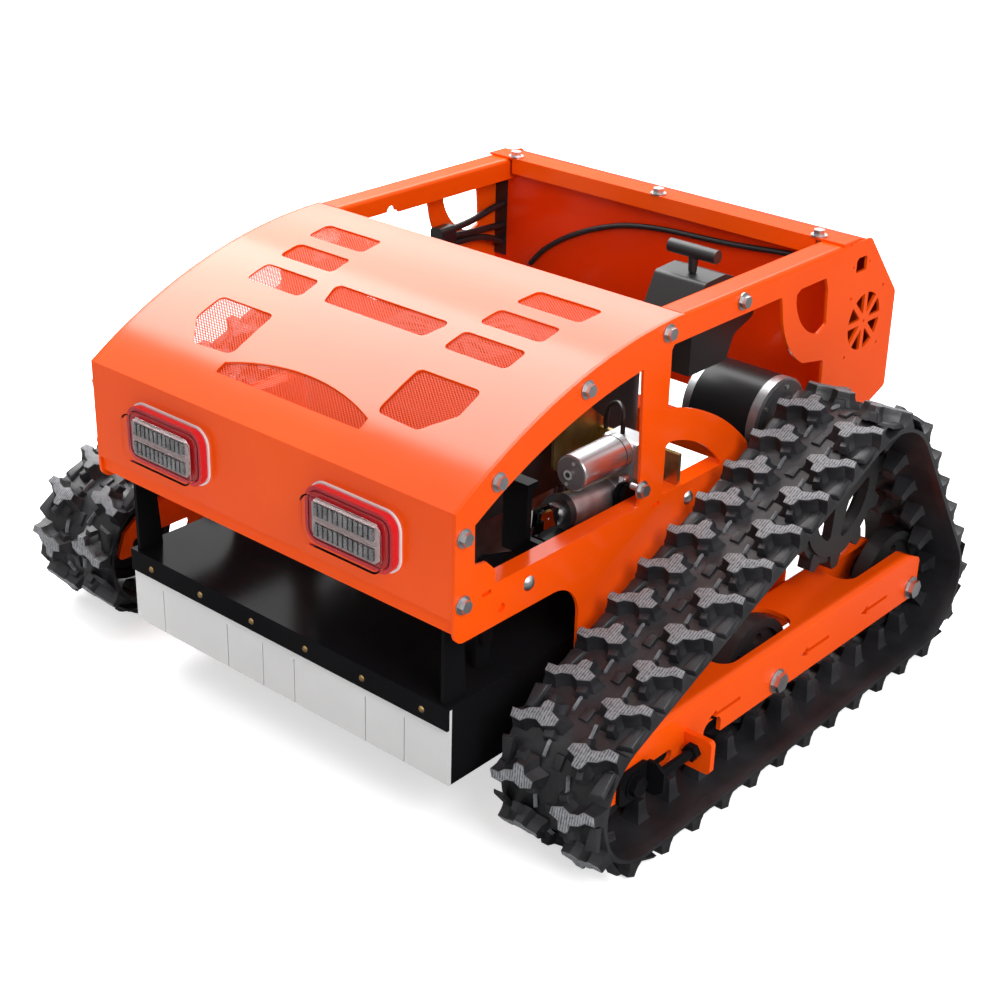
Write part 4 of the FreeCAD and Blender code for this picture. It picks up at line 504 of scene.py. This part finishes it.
# The path and horns stand lower round the front idler, which moves towards the belt.
idler_zone, horn_shift, horn_out = -0.28, 0.007, 0.0245
moulded = []
for link in range(link_total):
    at = first_link + link * pitch
    for way, start in ((1, at), (-1, at + left_shift)):
        for piece in (lug, step, spur, rim, ramp):
            moulded.append(set_on_belt(piece, start, track_out, way))
    moulded.append(set_on_belt(pad, at + pitch / 2, track_out))
    path_depth, horn_depth = (0.3, 0.5) if belt_place(at)[0] < idler_zone else (1.0, 1.0)
    moulded.append(set_on_belt(path, at + pitch / 2, track_out, 1, path_depth))
    for out in (horn_out, -horn_out):
        moulded.append(set_on_belt(horn, at + horn_shift, track_out + out, 1, horn_depth))
only(band)
for piece in moulded:
    piece.select_set(True)
bpy.ops.object.join()
edit(band)
bpy.ops.mesh.select_all(action="SELECT")
bpy.ops.mesh.normals_make_consistent(inside=False)
done(band)
bpy.ops.object.shade_smooth_by_angle(angle=math.radians(32))
for model in (lug, step, spur, rim, ramp, pad, horn, path):
    bpy.data.objects.remove(model)
for corner in band.data.vertices:
    corner.co.z = max(corner.co.z, 0.0)


def left_twin(piece, name):
    """The same piece for the left side, mirrored through the machine's middle."""
    twin = piece.copy()
    twin.data = piece.data.copy()
    twin.name = name
    twin.data.transform(Matrix.Scale(-1, 4, (1, 0, 0)))
    twin.data.flip_normals()
    bpy.context.scene.collection.objects.link(twin)
    return twin


left_band = left_twin(band, "track_belt_left_rubber")
for piece, node in ((band, "track_belt_right"), (left_band, "track_belt_left")):
    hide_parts(node)
    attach(piece, "chassis")

# Wheels: front idlers, middle rollers and rear idlers, all castings painted black, with less
# gloss than the sheet parts.
casting_black = powder_coat("casting_black", (0.012, 0.012, 0.013), (0.022, 0.022, 0.024), (0.35, 0.5))
for side in ("right", "left"):
    dress(casting_black, "front_idler_" + side, "mid_roller_" + side, "rear_idler_" + side)


# Drive sprockets: a stepped disc with three rounded windows between straight arms, eleven
# teeth that fill the belt's pockets, and a hub towards the machine.
def rod(name, radius, start, end, sides=48, tip=None):
    """Round bar between two points, with another radius at its end where one is given."""
    start, end = Vector(start), Vector(end)
    bpy.ops.object.select_all(action="DESELECT")
    bpy.ops.mesh.primitive_cone_add(vertices=sides, radius1=radius, depth=(end - start).length,
                                    radius2=radius if tip is None else tip)
    bar = bpy.context.object
    bar.name = name
    turned = (end - start).to_track_quat("Z", "Y").to_matrix().to_4x4()
    bar.data.transform(Matrix.Translation((start + end) / 2) @ turned)
    return bar


def joined(pieces, name):
    """The first piece with the others joined to it, smooth shaded but for its edges."""
    only(pieces[0])
    for piece in pieces[1:]:
        piece.select_set(True)
    bpy.ops.object.join()
    pieces[0].name = name
    bpy.ops.object.shade_smooth_by_angle(angle=math.radians(30))
    return pieces[0]


def prism(name, outline, low, high):
    """Straight block on a closed outline."""
    bpy.ops.object.select_all(action="DESELECT")
    bpy.ops.mesh.primitive_circle_add(vertices=len(outline), radius=0.01, fill_type="NGON")
    block = bpy.context.object
    block.name = name
    for corner, (first, second) in zip(block.data.vertices, outline):
        corner.co = (first, second, low)
    edit(block)
    bpy.ops.mesh.select_all(action="SELECT")
    bpy.ops.mesh.extrude_region_move(TRANSFORM_OT_translate={"value": (0, 0, high - low)})
    bpy.ops.mesh.select_all(action="SELECT")
    bpy.ops.mesh.normals_make_consistent(inside=False)
    return done(block)


def coated(piece, look):
    piece.data.materials.append(look)
    return piece


def point_at(reach, degrees):
    return reach * math.cos(math.radians(degrees)), reach * math.sin(math.radians(degrees))


sprocket_rim, sprocket_face, sprocket_half, step_back, edge_round = 0.093, 0.083, 0.011, 0.005, 0.002
back_rim, back_hollow = 0.022, 0.009
tooth_total, tooth_root, tooth_tip, tooth_turn = 11, 0.088, 0.1052, 1.295097
sprocket = rod("drive_sprocket_right_cast", sprocket_rim, (0, 0, -sprocket_half),
               (0, 0, sprocket_half - step_back), 110)
shape = edit(sprocket)
for face in shape.faces:
    face.select = face.normal.z > 0.9
bmesh.update_edit_mesh(sprocket.data)
bpy.ops.mesh.inset(thickness=sprocket_rim - sprocket_face)
bpy.ops.mesh.extrude_region_move(TRANSFORM_OT_translate={"value": (0, 0, step_back)})
bpy.ops.mesh.inset(thickness=edge_round)
bpy.ops.mesh.select_all(action="DESELECT")
for face in bmesh.from_edit_mesh(sprocket.data).faces:
    face.select = face.normal.z < -0.9
bpy.ops.mesh.inset(thickness=back_rim)
bpy.ops.mesh.extrude_region_move(TRANSFORM_OT_translate={"value": (0, 0, back_hollow)})
done(sprocket)
window = [(62, -82), (62, -70), (62, -55), (62, -40), (62, -25), (62, -10), (62, 2), (57, 7), (50, 5),
          (24, -20), (20, -40), (24, -60), (50, -85), (57, -87)]
for turned in (0, 120, 240):
    cutter = prism("window_cutter", [point_at(reach / 1000, degrees + turned) for reach, degrees in window],
                   -0.03, 0.03)
    only(sprocket)
    cut = sprocket.modifiers.new("window", "BOOLEAN")
    cut.operation, cut.object = "DIFFERENCE", cutter
    bpy.ops.object.modifier_apply(modifier="window")
    bpy.data.objects.remove(cutter)
sprocket_parts = [sprocket]
for k in range(tooth_total):
    tooth = prism("tooth", [
        (tooth_root - 0.004, -0.0125), (tooth_root + 0.004, -0.0118), (tooth_tip, -0.0066),
        (tooth_tip + 0.0004, 0), (tooth_tip, 0.0066), (tooth_root + 0.004, 0.0118),
        (tooth_root - 0.004, 0.0125)], -0.0100, 0.0085)
    tooth.data.transform(Matrix.Rotation(tooth_turn + k * 2 * math.pi / tooth_total, 4, "Z"))
    sprocket_parts.append(tooth)
sprocket_parts.append(rod("hub", 0.028, (0, 0, -0.033), (0, 0, -0.001), 64, 0.020))
joined(sprocket_parts, "drive_sprocket_right_cast")
sprocket.data.transform(Matrix(((0, 0, 1, track_out), (1, 0, 0, sprocket_y), (0, 1, 0, sprocket_z),
                                (0, 0, 0, 1))))
coated(sprocket, casting_black)
left_sprocket = left_twin(sprocket, "drive_sprocket_left_cast")
for side, piece in (("right", sprocket), ("left", left_sprocket)):
    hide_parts("drive_sprocket_" + side)
    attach(piece, "sprocket_" + side)


# Bright metal parts: zinc plated bolts, axles and pins, a steel blade, cast aluminium, the
# actuator's chromed rod and yellow zinc mount, and brass screws in the skirt's clamp.
def plated(name, low, high, rough=(0.25, 0.4), scale=30.0):
    """Bare or plated metal with two drifting tones."""
    look, tree, shader = new_look(name)
    tone_change(tree, shader, low, high, scale)
    uneven_gloss(tree, shader, rough[0], rough[1], scale * 2)
    shader.inputs["Metallic"].default_value = 1.0
    return look


zinc = plated("zinc", (0.50, 0.50, 0.50), (0.72, 0.72, 0.74))
steel = plated("bright_steel", (0.40, 0.40, 0.41), (0.58, 0.58, 0.60))
dress(zinc, "hex_bolts", "roller_axles", "lift_pins")
dress(steel, "cutting_blade", "blade_boss")
cast_aluminium = plated("cast_aluminium", (0.44, 0.45, 0.46), (0.58, 0.59, 0.61), (0.38, 0.5), 45.0)
dress(cast_aluminium, "motor_end_bells", "actuator_body")
chrome = plated("hard_chrome", (0.72, 0.72, 0.73), (0.80, 0.80, 0.81), (0.05, 0.1), 20.0)
dress(chrome, "actuator_rod")
yellow_zinc = plated("yellow_zinc", (0.52, 0.34, 0.10), (0.72, 0.55, 0.25), (0.28, 0.42), 25.0)
dress(yellow_zinc, "actuator_mount")
brass_screw = plated("brass_screw", (0.40, 0.25, 0.10), (0.55, 0.38, 0.18), (0.3, 0.45), 90.0)
dress(brass_screw, "skirt_screws")

# Drive shafts: steel bars from the gear ends into the sprockets' hubs, flush with their
# outer faces, with a collar at the inner end.
shaft_radius, shaft_collar_radius, shaft_collar, shaft_past = 0.0125, 0.020, 0.010, 0.010
for side, way in (("right", 1), ("left", -1)):
    shaft_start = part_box("drive_shaft_" + side)[0 if way == 1 else 1][0]
    shaft = joined([
        rod("shaft", shaft_radius, (shaft_start, sprocket_y, sprocket_z),
            (way * (track_out + shaft_past), sprocket_y, sprocket_z)),
        rod("collar", shaft_collar_radius, (shaft_start, sprocket_y, sprocket_z),
            (shaft_start + way * shaft_collar, sprocket_y, sprocket_z))], "drive_shaft_" + side + "_bar")
    coated(shaft, steel)
    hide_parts("drive_shaft_" + side)
    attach(shaft, "sprocket_" + side)

# Deck, lift and tensioners: folded and welded steel under a deep black coat, which mirrors
# little of what stands round it.
black_gloss = powder_coat("black_gloss_paint", (0.004, 0.004, 0.005), (0.008, 0.008, 0.009),
                          (0.10, 0.20), 0.03)
dress(black_gloss, "deck_shell", "skirt_clamp", "tension_fork_right", "tension_fork_left",
      "crank_bracket", "front_lift_arms", "rear_lift_arms", "bell_crank", "drop_link")

# Skirt: light grey rubber strip with slits, which hangs from the clamp bar at the deck's
# front edge.
skirt_rubber = rubber("skirt_rubber", (0.66, 0.66, 0.66), (0.72, 0.72, 0.72), 0.75, 5.0, 0.0002)
dress(skirt_rubber, "front_skirt")


# Head lamps: white gasket, red body and clear lens, and behind the lens a board with two
# rows of reflectors and a bead above and below each row.
def plastic(name, colour, rough, coat=0.0):
    """Moulded plastic in one colour with a fine grain."""
    look, tree, shader = new_look(name)
    shader.inputs["Base Color"].default_value = (*colour, 1)
    shader.inputs["Roughness"].default_value = rough
    shader.inputs["Coat Weight"].default_value = coat
    fine_bump(tree, shader, 600.0, 0.0002, 0.2)
    return look


dress(rubber("lamp_gasket", (0.70, 0.70, 0.70), (0.78, 0.78, 0.78), 0.6), "light_gaskets")
dress(plastic("lamp_red", (0.62, 0.012, 0.02), 0.15, 0.5), "light_housings")
lens_look, _, lens_shader = new_look("lamp_lens")
lens_shader.inputs["Base Color"].default_value = (0.98, 0.97, 0.97, 1)
lens_shader.inputs["Roughness"].default_value = 0.03
lens_shader.inputs["Transmission Weight"].default_value = 1.0
lens_shader.inputs["IOR"].default_value = 1.12
dress(lens_look, "light_lenses")
lamp_board = plastic("lamp_board", (0.62, 0.50, 0.50), 0.3, 0.3)
reflector = plated("lamp_reflector", (0.30, 0.31, 0.32), (0.55, 0.56, 0.57), (0.2, 0.35), 60.0)
lamp_front, lamp_height = -0.4475, 0.378
light_total, light_pitch, row_height = 12, 0.0078, 0.0122
for side, lamp_x in (("right", 0.1805), ("left", -0.1315)):
    rows = [coated(prism("board", [
        (-0.046, -0.024), (0.046, -0.024), (0.052, -0.018), (0.052, 0.018), (0.046, 0.024),
        (-0.046, 0.024), (-0.052, 0.018), (-0.052, -0.018)], 0.0002, 0.0016), lamp_board)]
    for row in (-row_height, row_height):
        for k in range(light_total):
            middle = (k - (light_total - 1) / 2) * light_pitch
            rows.append(coated(prism("reflector", rectangle(0.0027, 0.0075, middle, row), 0.0015, 0.0050),
                               reflector))
        for edge_z in (row - 0.0092, row + 0.0092):
            rows.append(coated(prism("bead", rectangle(0.048, 0.0007, 0.0, edge_z), 0.0015, 0.0034),
                               lamp_board))
    lights = joined(rows, "lamp_lights_" + side)
    lights.data.transform(Matrix(((1, 0, 0, lamp_x), (0, 0, -1, lamp_front), (0, 1, 0, lamp_height),
                                  (0, 0, 0, 1))))
    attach(lights, "chassis")

# Drive motors: black cans, a bright ring at the gear end and a dark face with screws that
# narrows to the mounting at the side plate.
dark_casting = powder_coat("dark_casting", (0.045, 0.045, 0.048), (0.075, 0.075, 0.080), (0.35, 0.45))
can_black = powder_coat("motor_can_black", (0.008, 0.008, 0.009), (0.014, 0.014, 0.015),
                        (0.32, 0.42), 0.3)
dress(can_black, "motor_cans")
motor_y, motor_z, screw_circle, screw_total = 0.2195, 0.338, 0.049, 6


def at_motor(start, way, out, off_y=0.0, off_z=0.0):
    """Place on a motor's gear end, measured outward from its inner face and off its axis."""
    return start + way * out, motor_y + off_y, motor_z + off_z


gear_ends = []
for side, way, start in (("right", 1, 0.2945), ("left", -1, -0.2455)):
    pieces = [coated(rod(name, radius, at_motor(start, way, low), at_motor(start, way, high), sides), look)
              for name, radius, low, high, sides, look in (
                  ("ring", 0.0600, 0, 0.0130, 96, cast_aluminium),
                  ("face", 0.0565, 0.012, 0.0155, 96, dark_casting),
                  ("neck", 0.0400, 0.015, 0.0290, 72, dark_casting))]
    for k in range(screw_total):
        turned = k * 2 * math.pi / screw_total + 0.4
        off_y, off_z = screw_circle * math.cos(turned), screw_circle * math.sin(turned)
        pieces.append(coated(rod("face_screw", 0.0030, at_motor(start, way, 0.0150, off_y, off_z),
                                 at_motor(start, way, 0.0175, off_y, off_z), 24), zinc))
    gear_end = joined(pieces, "gear_end_" + side)
    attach(gear_end, "chassis")
    gear_ends.append(gear_end)
for gear_end in gear_ends:
    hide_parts("gear_housings")

# Lift actuator: silver drive barrel with a dark end cap, hub and two screws, and on the tube
# below it a black collar, a bright lip, a strap and a clamp block with its screw.
silver_paint = plated("silver_barrel", (0.60, 0.61, 0.63), (0.74, 0.75, 0.77), (0.30, 0.40), 12.0)
grey_cap = plastic("grey_cap", (0.10, 0.09, 0.095), 0.35)
black_collar = plastic("black_collar", (0.012, 0.012, 0.013), 0.3)
barrel_x, barrel_z, barrel_front, barrel_rear, barrel_size = 0.2645, 0.378, -0.1605, -0.0725, 0.0225
cap_screw_circle = 0.0150


def on_barrel(name, radius, start, end, look, sides, tip=None, off=(0.0, 0.0)):
    """Round piece on the barrel's axis, or beside it, between two places along the machine."""
    x, z = barrel_x + off[0], barrel_z + off[1]
    return coated(rod(name, radius, (x, start, z), (x, end, z), sides, tip), look)


barrel_parts = [
    on_barrel("barrel", barrel_size, barrel_front, barrel_rear, silver_paint, 72),
    on_barrel("barrel_rim", barrel_size - 0.0012, barrel_front - 0.0014, barrel_front, zinc, 72,
              barrel_size),
    on_barrel("barrel_band", barrel_size + 0.0004, barrel_rear - 0.012, barrel_rear - 0.0108, grey_cap, 72),
    on_barrel("cap", barrel_size - 0.0022, barrel_front - 0.0030, barrel_front, grey_cap, 64),
    on_barrel("cap_hub", 0.0062, barrel_front - 0.0085, barrel_front - 0.0020, zinc, 40),
    on_barrel("cap_pin", 0.0034, barrel_front - 0.0088, barrel_front - 0.0084, black_collar, 32)]
for turned in (72, 252):
    barrel_parts.append(on_barrel("cap_screw", 0.0024, barrel_front - 0.0045, barrel_front - 0.0020, zinc,
                                  24, None, point_at(cap_screw_circle, turned)))
drive_barrel = joined(barrel_parts, "actuator_drive_barrel")
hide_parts("actuator_motor")
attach(drive_barrel, "chassis")
tube_axis, tube_pin = Vector((0, 0.99377, -0.11147)), Vector((0.2645, -0.2105, 0.3377))
clamp_x, clamp_y, clamp_z, clamp_thick, screw_stand = 0.2840, -0.0880, 0.3520, 0.0060, 0.0018
fitting_parts = [
    coated(rod(name, radius, tube_pin + tube_axis * start, tube_pin + tube_axis * end, sides), look)
    for name, radius, start, end, sides, look in (
        ("collar", 0.0225, 0.0235, 0.034, 64, black_collar), ("lip", 0.0135, 0.0205, 0.0240, 48, zinc),
        ("strap", 0.0218, 0.118, 0.124, 64, silver_paint))]
clamp_block = coated(prism("clamp_block", rectangle(0.0060, 0.0060), 0.0, clamp_thick), silver_paint)
clamp_block.data.transform(Matrix(((0, 0, 1, clamp_x), (1, 0, 0, clamp_y), (0, 1, 0, clamp_z),
                                   (0, 0, 0, 1))))
clamp_face = clamp_x + clamp_thick
clamp_screw = coated(rod("clamp_screw", 0.0040, (clamp_face, clamp_y, clamp_z),
                         (clamp_face + screw_stand, clamp_y, clamp_z), 32), zinc)
fittings = joined(fitting_parts + [clamp_block, clamp_screw], "actuator_tube_fittings")
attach(fittings, "chassis")

# Plastic and rubber goods: engine covers, starter handle, battery, controller and cables.
# The engine's own block is cast aluminium.
black_plastic = plastic("black_plastic", (0.016, 0.016, 0.017), 0.42)
dress(black_plastic, "engine_shroud", "recoil_cover", "rope_guide", "starter_handle",
      "battery_pack", "motor_controller")
dress(cast_aluminium, "engine_block")
cable_black = rubber("cable_black", (0.010, 0.010, 0.011), (0.018, 0.018, 0.019), 0.35)
dress(cable_black, "cable_loom", "actuator_cable", "starter_rope")
